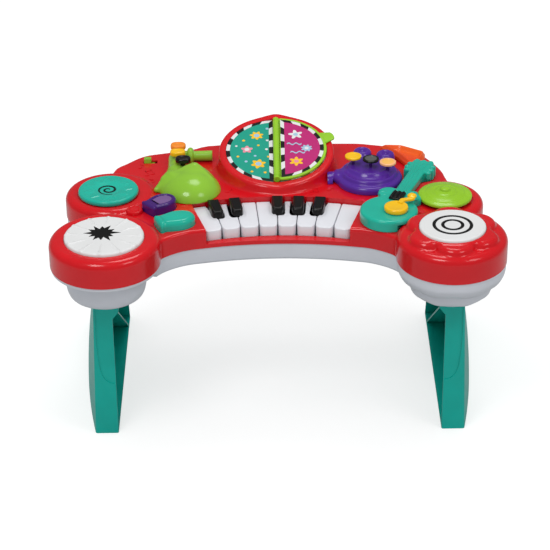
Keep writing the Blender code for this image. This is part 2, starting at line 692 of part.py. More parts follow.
def make_book():
    """Two fixed cards, the spine between them and the page that turns over it."""
    tilted = bpy.data.objects.new("book_frame", None)
    bpy.context.scene.collection.objects.link(tilted)
    tilted.parent = FRAME
    tilted.location = (0, BOOK_Y, BOOK_PLANE_Z)
    tilted.rotation_euler = (BOOK_TILT, 0, 0)
    inner = SPINE_RADIUS + LUG_GAP
    low = -CARD_THICKNESS
    piece("book_left_card", half_disc(-1, BOOK_RADIUS, inner, low, 0), "printed card", parent=tilted)
    piece("book_right_card", half_disc(1, BOOK_RADIUS, inner, low, 0), "printed card", parent=tilted)

    axis_z = GAP + PAGE_THICKNESS / 2
    bar_half = BOOK_RADIUS - BOOK_FRONT_SETBACK - LUG_LENGTH - LUG_GAP
    barrel = drum(SPINE_RADIUS, -bar_half, bar_half, 0, 0, SMALL_SIDES)
    lying = Matrix.Translation((0, 0, axis_z)) @ Matrix.Rotation(math.pi / 2, 4, "X")
    bmesh.ops.transform(barrel, matrix=lying, verts=barrel.verts)
    spine = piece("book_spine", barrel, "lime plastic", parent=tilted)
    add(spine, "spine_foot", box(-SPINE_RADIUS * 0.94, SPINE_RADIUS * 0.94, -bar_half + GAP, bar_half - GAP,
                                 low, axis_z))
    pin_half = bar_half + LUG_LENGTH
    pin = drum(SPINE_PIN_RADIUS, -pin_half, pin_half, 0, 0, SMALL_SIDES)
    bmesh.ops.transform(pin, matrix=lying, verts=pin.verts)
    add(spine, "spine_pins", pin)

    top = GAP + PAGE_THICKNESS
    origin = (0, 0, axis_z)
    page = piece("flip_page", half_disc(1, BOOK_RADIUS, inner, GAP, top), "lime plastic", origin, tilted)
    tab = corner_rounded([(0, -TAB_WIDTH / 2), (TAB_REACH, -TAB_WIDTH / 3), (TAB_REACH, TAB_WIDTH / 3),
                          (0, TAB_WIDTH / 2)], TAB_WIDTH / 4)
    tab = placed([(x + BOOK_RADIUS - GAP, y) for x, y in tab], 0, 0, TAB_ANGLE)
    add(page, "page_tab", prism(tab, GAP * 2, top - GAP))
    lug_start = bar_half + LUG_GAP
    for side in (-1, 1):
        lug = drum(SPINE_RADIUS, lug_start, lug_start + LUG_LENGTH, 0, 0, SMALL_SIDES)
        bmesh.ops.transform(lug, matrix=lying, verts=lug.verts)
        if side > 0:
            bmesh.ops.transform(lug, matrix=Matrix.Translation((0, 2 * lug_start + LUG_LENGTH, 0)),
                                verts=lug.verts)
        add(page, f"page_lug_{side}", lug)
        reach = side * lug_start
        far = side * (lug_start + LUG_LENGTH)
        add(page, f"page_arm_{side}", box(0, inner + FRAME_BORDER * 2, min(reach, far) + GAP,
                                          max(reach, far) - GAP,
                                          GAP * 2, top - GAP * 1.5))
    bore = drum(SPINE_PIN_RADIUS + GAP, -pin_half - OVERRUN, pin_half + OVERRUN, 0, 0, SMALL_SIDES)
    bmesh.ops.transform(bore, matrix=lying, verts=bore.verts)
    cut(page, "page_bore", bore)
    card_radius = BOOK_RADIUS - FRAME_BORDER
    card_inner = inner + FRAME_BORDER
    cut(page, "page_pocket", half_disc(1, card_radius + GAP, card_inner - GAP,
                                       top - PAGE_CARD_THICKNESS - GAP, top + OVERRUN))
    piece("flip_page_card", half_disc(1, card_radius, card_inner, top - PAGE_CARD_THICKNESS, top),
          "magenta card", origin, tilted)


def key_hinge_z():
    return TAIL_BOTTOM_Z + TAIL_HEIGHT / 2


def key_tail(angle, width, overlap):
    """The arm that runs from a key under the deck into the hinge rail."""
    half = width / 2
    rear = KEY_REAR + TAIL_LENGTH
    c, s = math.cos(angle), math.sin(angle)
    corners = ((-half, KEY_REAR - overlap), (half, KEY_REAR - overlap), (half, rear), (-half, rear))
    outline = [(u * c + r * s, FAN_Y - u * s + r * c) for u, r in corners]
    return prism(outline, TAIL_BOTTOM_Z, TAIL_BOTTOM_Z + TAIL_HEIGHT)


def key_origin(angle):
    x, y = fan(KEY_REAR + TAIL_LENGTH - TAIL_HEIGHT / 2, angle)
    return x, y, key_hinge_z()


def make_white_keys():
    """Eight hollow keys, each with the notches that its black neighbours stand in."""
    for index in range(KEY_COUNT):
        left = (index - KEY_COUNT / 2) * KEY_PITCH
        right = left + KEY_PITCH
        middle = (left + right) / 2

        def edge(radius, boundary, side, width):
            return fan(radius, boundary + side * width / radius)
        slim = KEY_GAP / 2
        wide = BLACK_WIDTH / 2 + KEY_GAP * 1.4
        notch = KEY_REAR - BLACK_LENGTH - KEY_GAP
        outline = [edge(KEY_FRONT, left, 1, slim), fan(KEY_FRONT, middle), edge(KEY_FRONT, right, -1, slim)]
        if index + 1 in BLACK_BOUNDARIES:
            outline += [edge(notch, right, -1, slim), edge(notch, right, -1, wide),
                        edge(KEY_REAR, right, -1, wide)]
        else:
            outline += [edge(KEY_REAR, right, -1, slim)]
        if index in BLACK_BOUNDARIES:
            outline += [edge(KEY_REAR, left, 1, wide), edge(notch, left, 1, wide),
                        edge(notch, left, 1, slim)]
        else:
            outline += [edge(KEY_REAR, left, 1, slim)]
        first = corner_rounded(outline, KEY_CORNER, 2)[0:3]
        outline = first + outline[1:2] + corner_rounded(outline, KEY_CORNER, 2)[6:9] + outline[3:]
        bm = prism(outline, KEY_BOTTOM_Z, KEY_TOP_Z, KEY_EDGE)
        key = piece(f"white_key_{index + 1}", bm, "white plastic", key_origin(middle))
        hollow_side = KEY_GAP / 2 + KEY_WALL
        near = KEY_FRONT + KEY_WALL
        hollow = [edge(near, left, 1, hollow_side), edge(near, right, -1, hollow_side),
                  edge(notch - KEY_WALL, right, -1, hollow_side),
                  edge(notch - KEY_WALL, left, 1, hollow_side)]
        cut(key, f"white_key_hollow_{index + 1}",
            prism(hollow, KEY_BOTTOM_Z - OVERRUN, KEY_TOP_Z - KEY_WALL))
        add(key, f"white_key_tail_{index + 1}", key_tail(middle, TAIL_WIDTH / 1.5, KEY_WALL))


def make_black_keys():
    """Five raised keys that stand in the notches between the white ones."""
    for number, boundary in enumerate(BLACK_BOUNDARIES, 1):
        angle = (boundary - KEY_COUNT / 2) * KEY_PITCH
        half, nose = BLACK_WIDTH / 2, BLACK_NOSE_WIDTH / 2
        front = KEY_REAR - BLACK_LENGTH
        corners = ((-nose, front), (nose, front), (half, front + BLACK_NOSE), (half, KEY_REAR - GAP),
                   (-half, KEY_REAR - GAP), (-half, front + BLACK_NOSE))
        c, s = math.cos(angle), math.sin(angle)
        outline = [(u * c + r * s, FAN_Y - u * s + r * c) for u, r in corners]
        bm = prism(outline, KEY_BOTTOM_Z + TAIL_RISE / 2, KEY_TOP_Z + BLACK_PROUD, BLACK_EDGE)
        key = piece(f"black_key_{number}", bm, "black plastic", key_origin(angle))
        add(key, f"black_key_tail_{number}", key_tail(angle, BLACK_TAIL_WIDTH, KEY_WALL))


def make_key_rail():
    """The curved trough behind the keys that holds their tails, and the board they press on."""
    low = TAIL_BOTTOM_Z - GAP - RAIL_WALL
    half = KEYBOARD_HALF_ANGLE
    front = KEY_REAR + KEY_GAP * 2
    rear = KEY_REAR + TAIL_LENGTH + SLIDE_GAP
    rail = piece("key_hinge_rail", key_fan(front, rear + RAIL_WALL, half, 0, low, low + RAIL_HEIGHT),
                 "grey plastic")
    cut(rail, "rail_trough", key_fan(front - OVERRUN, rear, half, OVERRUN, low + RAIL_WALL,
                                     low + RAIL_HEIGHT + OVERRUN))
    board_top = KEY_BOTTOM_Z - KEY_DIP - RUBBER_HEIGHT
    near = KEY_FRONT + KEY_BOARD_MARGIN
    piece("key_contact_board", key_fan(near, near + KEY_BOARD_WIDTH, half, -KEY_BOARD_MARGIN,
                                       board_top - BOARD_THICKNESS, board_top), "circuit board")
    middle = near + KEY_BOARD_WIDTH / 2
    piece("key_rubber_strip", key_fan(middle - RUBBER_WIDTH / 2, middle + RUBBER_WIDTH / 2, half,
                                      -KEY_BOARD_MARGIN * 1.5, board_top + GAP, board_top + RUBBER_HEIGHT),
          "rubber")


def pad_profile(radius, top, crown_low, skirt_low, flange):
    """A drum pad's shell: crown, skirt and the flange that holds it under the casing."""
    inner = radius - PAD_WALL
    return [(0, top), *rounded_rim(radius, top, PAD_ROUND), (radius, flange),
            (radius + FLANGE_WIDTH, flange),
            (radius + FLANGE_WIDTH, skirt_low), (inner, skirt_low), (inner, crown_low), (0, crown_low)]


def make_pads():
    """Two drum pads that press down, each a shell caught under its lobe."""
    pads = (("left_drum_pad", -LOBE_X, FRONT_LOBE_Y, LEFT_PAD_RADIUS, FRONT_LOBE_Z, LEFT_PAD_PROUD),
            ("right_drum_pad", LOBE_X, RIGHT_PAD_Y, RIGHT_PAD_RADIUS, RIGHT_BEZEL_Z, RIGHT_PAD_PROUD))
    for name, x, y, radius, seat, proud in pads:
        flange = FRONT_LOBE_Z - WALL - GAP
        profile = pad_profile(radius, seat + proud, seat + proud - PAD_WALL, flange - FLANGE_THICKNESS,
                              flange)
        piece(name, lathe(profile, LARGE_SIDES, x, y), "white plastic", (x, y, seat))


def make_disc_and_cymbal():
    """The turning disc with its retainer, and the cymbal that presses down."""
    under = REAR_LOBE_Z + GAP
    top = under + DISC_THICKNESS
    shell_low = REAR_LOBE_Z - WALL - GAP
    dish = DISC_DISH_RADIUS
    profile = [(0, top - DISC_DISH_DEPTH), (dish - DISC_DISH_DEPTH, top - DISC_DISH_DEPTH), (dish, top),
               *rounded_rim(DISC_RADIUS, top, DISC_ROUND), (DISC_RADIUS, under), (STEM_RADIUS, under),
               (STEM_RADIUS, shell_low), (0, shell_low)]
    disc = piece("spinner_disc", lathe(profile, ROUND_SIDES, DISC_X, DISC_Y), "teal plastic",
                 (DISC_X, DISC_Y, under))
    shaft_top = under + DISC_THICKNESS / 3
    cut(disc, "disc_bore", drum(RETAINER_SHAFT_RADIUS + GAP, shell_low - OVERRUN, shaft_top + GAP,
                                DISC_X, DISC_Y, SMALL_SIDES))
    piece("spinner_retainer",
          lathe([(0, shaft_top), (RETAINER_SHAFT_RADIUS, shaft_top),
                 (RETAINER_SHAFT_RADIUS, shell_low - GAP),
                 (RETAINER_RADIUS, shell_low - GAP),
                 (RETAINER_RADIUS, shell_low - GAP - RETAINER_THICKNESS),
                 (0, shell_low - GAP - RETAINER_THICKNESS)], SMALL_SIDES, DISC_X, DISC_Y), "steel",
          (DISC_X, DISC_Y, under))

    low = REAR_LOBE_Z + CYMBAL_TRAVEL + GAP
    edge = low + CYMBAL_EDGE
    crown = edge + CYMBAL_CROWN
    bow = [(CYMBAL_RADIUS * math.cos(a), edge + CYMBAL_CROWN * math.sin(a))
           for a in (math.radians(t) for t in (72, 50, 25))]
    profile = [(0, crown + CYMBAL_KNOB_HEIGHT), (CYMBAL_KNOB_RADIUS * 0.8, crown + CYMBAL_KNOB_HEIGHT),
               (CYMBAL_KNOB_RADIUS, crown + CYMBAL_KNOB_HEIGHT * 0.6), (CYMBAL_KNOB_RADIUS, crown), *bow,
               (CYMBAL_RADIUS, edge), (CYMBAL_RADIUS, low), (STEM_RADIUS, low), (STEM_RADIUS, shell_low),
               (STEM_FLANGE_RADIUS, shell_low), (STEM_FLANGE_RADIUS, shell_low - STEM_FLANGE_THICKNESS),
               (0, shell_low - STEM_FLANGE_THICKNESS)]
    piece("cymbal", lathe(profile, ROUND_SIDES, CYMBAL_X, CYMBAL_Y), "lime plastic",
          (CYMBAL_X, CYMBAL_Y, low))


def make_maracas():
    """Two press buttons shaped like maracas, caught under the deck by a flange."""
    for name, finish, x, y, turn, length, width in (
            ("purple_maraca_button", "purple plastic", PURPLE_X, PURPLE_Y, PURPLE_TURN, PURPLE_LENGTH,
             PURPLE_WIDTH),
            ("teal_maraca_button", "teal plastic", TEAL_X, TEAL_Y, TEAL_TURN, TEAL_LENGTH, TEAL_WIDTH)):
        outline = maraca_outline(x, y, turn, length, width)
        flange = DECK_UNDERSIDE - GAP
        button = piece(name, prism(outline, flange - FLANGE_THICKNESS, DECK_Z + MARACA_PROUD, MARACA_ROUND,
                                   0, 3),
                       finish, (x, y, DECK_Z))
        add(button, name + "_flange", prism(grown(outline, FLANGE_WIDTH), flange - FLANGE_THICKNESS,
                                            flange))
        cut(button, name + "_hollow", prism(grown(outline, -PAD_WALL), flange - FLANGE_THICKNESS - OVERRUN,
                                            DECK_Z + MARACA_PROUD - PAD_WALL - MARACA_ROUND / 2))


def dome(x, y, low, half_width, half_depth, height, sides=24, rows=6):
    """The upper half of an egg shape, flat underneath."""
    bm = lathe([(math.sin(math.pi / 2 * row / rows),
                 math.cos(math.pi / 2 * row / rows)) for row in range(rows)]
               + [(1, 0), (0, 0)], sides)
    bmesh.ops.transform(bm, matrix=Matrix.Translation((x, y, low)) @ Matrix.Diagonal(
        (half_width, half_depth, height, 1)), verts=bm.verts)
    return bm


def make_sax():
    """The saxophone: bell, pointed lip, neck, collar and mouthpiece in one moulding, and its three keys."""
    low = DECK_Z + GAP
    sax = piece("sax_body", dome(BELL_X, BELL_Y, low, BELL_HALF_WIDTH, BELL_HALF_DEPTH, BELL_HEIGHT),
                "lime plastic")
    base = BELL_HALF_DEPTH / 2
    tip = [(TIP_X, TIP_Y - TIP_RADIUS / 2), (BELL_X - BELL_HALF_WIDTH / 2, BELL_Y - base),
           (BELL_X - BELL_HALF_WIDTH / 2, BELL_Y + base), (TIP_X, TIP_Y + TIP_RADIUS / 2)]
    add(sax, "sax_lip", prism(corner_rounded(tip, TIP_RADIUS / 2), low, low + TIP_HEIGHT, TIP_HEIGHT / 3))
    neck = [(NECK_X - NECK_WIDTH / 2, NECK_FRONT_Y), (NECK_X + NECK_WIDTH / 2, NECK_FRONT_Y),
            (NECK_X + NECK_WIDTH / 2, NECK_BACK_Y), (NECK_X - NECK_WIDTH / 2, NECK_BACK_Y)]
    add(sax, "sax_neck", prism(corner_rounded(neck, NECK_WIDTH / 3), low, low + NECK_HEIGHT,
                               NECK_HEIGHT / 4))
    pipe_y = NECK_BACK_Y - PIPE_RADIUS * 1.6
    pipe_z = low + PIPE_Z_RISE
    for name, start, end, radius in (
            ("sax_pipe", NECK_X, PIPE_END_X, PIPE_RADIUS),
            ("sax_collar", COLLAR_X - COLLAR_LENGTH / 2, COLLAR_X + COLLAR_LENGTH / 2, COLLAR_RADIUS)):
        tube = drum(radius, start, end, 0, 0, SMALL_SIDES)
        turn = Matrix.Translation((0, pipe_y, pipe_z)) @ Matrix.Rotation(math.pi / 2, 4, "Y")
        bmesh.ops.transform(tube, matrix=turn, verts=tube.verts)
        add(sax, name, tube)
    cut(sax, "sax_under", box(-BODY_HALF_WIDTH, 0, -BODY_BACK_Y, BODY_BACK_Y + OVERRUN, SEAM_Z, low))
    cut(sax, "sax_lobe_clearance", drum(LEFT_REAR_RADIUS + GAP, DECK_Z - OVERRUN, REAR_LOBE_Z + GAP,
                                        LEFT_REAR_X, LEFT_REAR_Y))
    cut(sax, "sax_keyboard_clearance",
        key_fan(KEY_FRONT, KEY_REAR + KEY_GAP * 2, KEYBOARD_HALF_ANGLE, KEY_GAP * 2, KEY_BOTTOM_Z,
                DECK_Z + BELL_HEIGHT))
    cut(sax, "sax_key_bores", *[stem_bore(SAX_KEY_STEM_RADIUS, x, y) for _, _, x, y, _, _ in SAX_KEYS])
    flange = DECK_UNDERSIDE - GAP
    for name, finish, x, y, width, depth in SAX_KEYS:
        cap_low = low + NECK_HEIGHT + SAX_KEY_TRAVEL + GAP
        outline = corner_rounded([(x - width / 2, y - depth / 2), (x + width / 2, y - depth / 2),
                                  (x + width / 2, y + depth / 2), (x - width / 2, y + depth / 2)],
                                 depth / 3)
        key = piece(name, prism(outline, cap_low, cap_low + SAX_KEY_THICKNESS, SAX_KEY_ROUND), finish,
                    (x, y, cap_low))
        add(key, name + "_stem",
            lathe([(0, cap_low + GAP), (SAX_KEY_STEM_RADIUS, cap_low + GAP), (SAX_KEY_STEM_RADIUS, flange),
                   (SAX_KEY_STEM_RADIUS + FLANGE_WIDTH, flange),
                   (SAX_KEY_STEM_RADIUS + FLANGE_WIDTH, flange - STEM_FLANGE_THICKNESS),
                   (0, flange - STEM_FLANGE_THICKNESS)], SMALL_SIDES, x, y))


def make_horn():
    """The horn's round body with its tail, tube loops and flared bell, and three valve keys on stems."""
    low = DECK_Z + GAP
    horn = piece("horn_body", drum(HORN_RADIUS, low, low + HORN_HEIGHT, HORN_X, HORN_Y, ROUND_SIDES,
                                   HORN_ROUND),
                 "purple plastic")
    add(horn, "horn_step", drum(HORN_STEP_RADIUS, low, low + HORN_HEIGHT + HORN_STEP_RISE, HORN_X,
                                HORN_Y + HORN_STEP_Y, ROUND_SIDES, HORN_STEP_RISE, 2))
    near = HORN_X - HORN_RADIUS
    tail = [(FLANGE_X - FLANGE_LENGTH / 2, FLANGE_Y - FLANGE_SPREAD / 2),
            (FLANGE_X + FLANGE_LENGTH / 2, FLANGE_Y - FLANGE_SPREAD / 3),
            (near + HORN_ROUND * 2, FLANGE_Y - FLANGE_SPREAD / 2),
            (near + HORN_ROUND * 2, FLANGE_Y + FLANGE_SPREAD / 2),
            (FLANGE_X + FLANGE_LENGTH / 2, FLANGE_Y + FLANGE_SPREAD / 3),
            (FLANGE_X - FLANGE_LENGTH / 2, FLANGE_Y + FLANGE_SPREAD / 2)]
    add(horn, "horn_tail", prism(tail, low, low + HORN_HEIGHT * 0.7, HORN_ROUND / 3))
    cut(horn, "horn_ring_clearance", drum(RING_RADIUS + GAP, DECK_Z - OVERRUN, BOOK_PLANE_Z + RING_RADIUS,
                                          0, BOOK_Y,
                                          LARGE_SIDES))
    for index, (x, y) in enumerate(LOOPS):
        add(horn, f"horn_loop_{index}", drum(LOOP_RADIUS, low, low + LOOP_HEIGHT, x, y, SMALL_SIDES + 4,
                                             HORN_ROUND, 2))
        bridge_y = (y + HORN_Y) / 2
        add(horn, f"horn_loop_bridge_{index}",
            box(x - LOOP_RADIUS / 2, x + LOOP_RADIUS / 2, bridge_y - LOOP_RADIUS,
                                                   y, low, low + LOOP_HEIGHT * 0.7))
    bores = [stem_bore(SAX_KEY_STEM_RADIUS, x, y) for _, _, x, y in HORN_KEYS]
    cut(horn, "horn_key_bores", *bores)
    outline = [(a * BODY_HALF_WIDTH, b * BODY_BACK_Y) for a, b in HORN_BELL_OUTLINE_SHARES]
    bell = piece("horn_bell", prism(outline, low, low + HORN_BELL_HEIGHT, HORN_BELL_ROUND),
                 "orange plastic")
    cut(bell, "bell_body_clearance", drum(HORN_RADIUS + GAP, DECK_Z - OVERRUN, DECK_Z + HORN_HEIGHT * 2,
                                          HORN_X, HORN_Y))
    cut(bell, "bell_guitar_clearance", prism(grown(guitar_neck_outline(), KEY_GAP), DECK_Z - OVERRUN,
                                             DECK_Z + GUITAR_HEIGHT * 2))
    x, y = LOOPS[1]
    cut(bell, "bell_loop_clearance", drum(LOOP_RADIUS + GAP, DECK_Z - OVERRUN, DECK_Z + HORN_HEIGHT * 2, x,
                                          y,
                                          SMALL_SIDES + 4))
    flange = DECK_UNDERSIDE - GAP
    for name, finish, x, y in HORN_KEYS:
        cap_low = DECK_Z + HORN_KEY_RISE
        top = cap_low + HORN_KEY_THICKNESS
        profile = [(0, top), *rounded_rim(HORN_KEY_RADIUS, top, HORN_KEY_ROUND, 2),
                   (HORN_KEY_RADIUS, cap_low),
                   (SAX_KEY_STEM_RADIUS, cap_low), (SAX_KEY_STEM_RADIUS, flange),
                   (SAX_KEY_STEM_RADIUS + FLANGE_WIDTH, flange),
                   (SAX_KEY_STEM_RADIUS + FLANGE_WIDTH, flange - STEM_FLANGE_THICKNESS),
                   (0, flange - STEM_FLANGE_THICKNESS)]
        piece(name, lathe(profile, SMALL_SIDES + 6, x, y), finish, (x, y, cap_low))


def guitar_point(along, across):
    return placed([(along, across)], GUITAR_X, GUITAR_Y, GUITAR_TURN)[0]


def guitar_neck_outline():
    """The plan of the neck and its widening head."""
    half, wide = GUITAR_NECK_WIDTH / 2, HEAD_WIDTH / 2
    shoulder = GUITAR_NECK_END + HEAD_SHOULDER
    end = GUITAR_NECK_END + HEAD_LENGTH
    neck = [(GUITAR_NECK_START, -half), (GUITAR_NECK_END, -half), (shoulder, -wide), (end, -wide * 0.8),
            (end + HEAD_SHOULDER / 3, 0), (end, wide * 0.8), (shoulder, wide), (GUITAR_NECK_END, half),
            (GUITAR_NECK_START, half)]
    return placed(neck, GUITAR_X, GUITAR_Y, GUITAR_TURN)


def make_guitar():
    """The guitar: two bouts, neck and head in one moulding, its ribbed bridge and the swinging strummer."""
    low = DECK_Z + GAP
    high = low + GUITAR_HEIGHT
    guitar = piece("guitar_body", drum(LOWER_BOUT_RADIUS, low, high, GUITAR_X, GUITAR_Y, LARGE_SIDES,
                                       GUITAR_ROUND),
                   "teal plastic")
    for side, name in ((-1, "right"), (1, "left")):
        x, y = guitar_point(UPPER_BOUT_ALONG, side * UPPER_BOUT_ACROSS)
        add(guitar, f"{name}_bout", drum(UPPER_BOUT_RADIUS, low, high, x, y, SMALL_SIDES + 6, GUITAR_ROUND))
    waist = WAIST_WIDTH / 2
    middle = [(0, -waist), (UPPER_BOUT_ALONG, -waist * 0.8),
              (UPPER_BOUT_ALONG + UPPER_BOUT_RADIUS, -waist / 3),
              (UPPER_BOUT_ALONG + UPPER_BOUT_RADIUS, waist / 3), (UPPER_BOUT_ALONG, waist * 0.8),
              (0, waist)]
    add(guitar, "guitar_waist", prism(placed(middle, GUITAR_X, GUITAR_Y, GUITAR_TURN), low, high - GAP))
    add(guitar, "guitar_neck", prism(guitar_neck_outline(), low, high - GAP * 2, GUITAR_ROUND / 2))
    cut(guitar, "guitar_front_lobe_clearance",
        drum(FRONT_LOBE_RADIUS + GAP, DECK_Z - OVERRUN, FRONT_LOBE_Z + GAP, LOBE_X, FRONT_LOBE_Y))
    bezel = RIGHT_PAD_RADIUS + RIGHT_BEZEL_WIDTH + BUMP_RADIUS / 2 + GAP
    cut(guitar, "guitar_bezel_clearance",
        drum(bezel, DECK_Z - OVERRUN, RIGHT_BEZEL_Z + OVERRUN, LOBE_X, RIGHT_PAD_Y))
    cut(guitar, "guitar_rear_lobe_clearance",
        drum(RIGHT_REAR_RADIUS + GAP, DECK_Z - OVERRUN, REAR_LOBE_Z + GAP, RIGHT_REAR_X, RIGHT_REAR_Y))
    cut(guitar, "guitar_cymbal_clearance",
        drum(CYMBAL_RADIUS + KEY_GAP, DECK_Z - OVERRUN, REAR_LOBE_Z + GUITAR_HEIGHT * 2, CYMBAL_X,
             CYMBAL_Y))
    cut(guitar, "strummer_bore", drum(STRUMMER_PIN_RADIUS + GAP, high - STRUMMER_PIN_DEPTH - GAP,
                                      high + OVERRUN,
                                      STRUMMER_X, STRUMMER_Y, SMALL_SIDES))

    ends = [(BRIDGE_ALONG - BRIDGE_LENGTH / 2, -BRIDGE_WIDTH / 2),
            (BRIDGE_ALONG + BRIDGE_LENGTH / 2, -BRIDGE_WIDTH / 2),
            (BRIDGE_ALONG + BRIDGE_LENGTH / 2, BRIDGE_WIDTH / 2),
            (BRIDGE_ALONG - BRIDGE_LENGTH / 2, BRIDGE_WIDTH / 2)]
    piece("guitar_bridge", prism(placed(ends, GUITAR_X, GUITAR_Y, GUITAR_TURN), high + GAP,
                                 high + GAP + BRIDGE_HEIGHT,
                                 BRIDGE_EDGE), "black plastic")

    under = high + GAP
    top = under + STRUMMER_THICKNESS
    strummer = piece("guitar_strummer", drum(STRUMMER_RADIUS, under, top, STRUMMER_X, STRUMMER_Y,
                                             SMALL_SIDES * 2,
                                             STRUMMER_ROUND), "yellow plastic",
                     (STRUMMER_X, STRUMMER_Y, under))
    arm = STRUMMER_ARM_WIDTH / 2
    bar = placed([(0, -arm), (STRUMMER_REACH, -arm), (STRUMMER_REACH, arm), (0, arm)], STRUMMER_X,
                 STRUMMER_Y,
                 STRUMMER_TURN)
    arm_low = under + BRIDGE_HEIGHT + GAP
    add(strummer, "strummer_arm", prism(bar, arm_low, arm_low + STRUMMER_THICKNESS / 2))
    ball_x = STRUMMER_X + STRUMMER_REACH * math.cos(STRUMMER_TURN)
    ball_y = STRUMMER_Y + STRUMMER_REACH * math.sin(STRUMMER_TURN)
    ball = STRUMMER_BALL_RADIUS
    add(strummer, "strummer_ball", drum(ball, arm_low, top + ball / 2, ball_x, ball_y, SMALL_SIDES,
                                        ball / 2))
    add(strummer, "strummer_pin", drum(STRUMMER_PIN_RADIUS, high - STRUMMER_PIN_DEPTH,
                                       under + STRUMMER_ROUND,
                                       STRUMMER_X, STRUMMER_Y, SMALL_SIDES))


def make_slider():
    """The mode switch: a knob in a slot, on a plate that runs under the deck."""
    flange = DECK_UNDERSIDE - GAP
    half, deep = SLIDER_LENGTH / 2, SLIDER_WIDTH / 2
    knob = box(SLIDER_X - half, SLIDER_X + half, SLIDER_Y - deep, SLIDER_Y + deep,
               flange - SLIDER_PLATE_THICKNESS / 2,
               DECK_Z + SLIDER_PROUD, EDGE_ROUND / 4)
    slider = piece("mode_slider", knob, "lime plastic", (SLIDER_X, SLIDER_Y, DECK_Z))
    margin = SLIDER_PLATE_MARGIN
    add(slider, "slider_plate", box(SLIDER_X - half - margin, SLIDER_X + half + margin,
                                    SLIDER_Y - deep - margin / 2,
                                    SLIDER_Y + deep + margin / 2, flange - SLIDER_PLATE_THICKNESS, flange))


def bowls(inset, low_band):
    """The round parts of the bottom casing: both front lobes taper to a cup, the rear ones are plain."""
    top = SEAM_Z - GAP + inset * 4
    shapes = []
    radius = FRONT_LOBE_RADIUS - CASING_STEP - inset
    cup = CUP_RADIUS - inset
    left = [(0, top), (radius, top), (radius, SEAM_Z - CASING_STEP * 5),
            (BOWL_RADIUS - inset, BAND_Z + inset * 2),
            (cup, BAND_Z - CUP_ROUND / 2 + inset), (cup, low_band + CUP_ROUND),
            (cup - CUP_ROUND, low_band), (0, low_band)]
    right = [(0, top), (radius, top), (radius, SEAM_Z - STEP_DROP), (BOWL_RADIUS - inset, BAND_Z + inset),
             (cup, BAND_Z - CUP_ROUND / 2 + inset), (cup, low_band + CUP_ROUND),
             (cup - CUP_ROUND, low_band), (0, low_band)]
    shapes.append(lathe(left, ROUND_SIDES, -LOBE_X, FRONT_LOBE_Y))
    shapes.append(lathe(right, ROUND_SIDES, LOBE_X, FRONT_LOBE_Y))
    for x, y, size in ((LEFT_REAR_X, LEFT_REAR_Y, LEFT_REAR_RADIUS),
                       (RIGHT_REAR_X, RIGHT_REAR_Y, RIGHT_REAR_RADIUS)):
        size -= CASING_STEP + inset
        low = BAND_Z + inset
        shapes.append(lathe([(0, top), (size, top), (size, low + CUP_ROUND), (size - CUP_ROUND, low),
                             (0, low)],
                            ROUND_SIDES, x, y))
    return shapes


def tenon_outline(side, margin):
    """The plan of the block on a leg's top that plugs into its cup."""
    inner = LEG_INNER_X - COLLAR_INWARD + TENON_INSET - margin
    outer = LEG_OUTER_X - LEG_OUTER_LEAN - TENON_INSET + margin
    front = LEG_FRONT_Y + TENON_INSET - margin
    back = COLLAR_BACK_Y - TENON_INSET + margin
    corners = [(inner, front), (outer, front), (outer, back), (inner, back)]
    return corners if side > 0 else [(-x, y) for x, y in corners[::-1]]


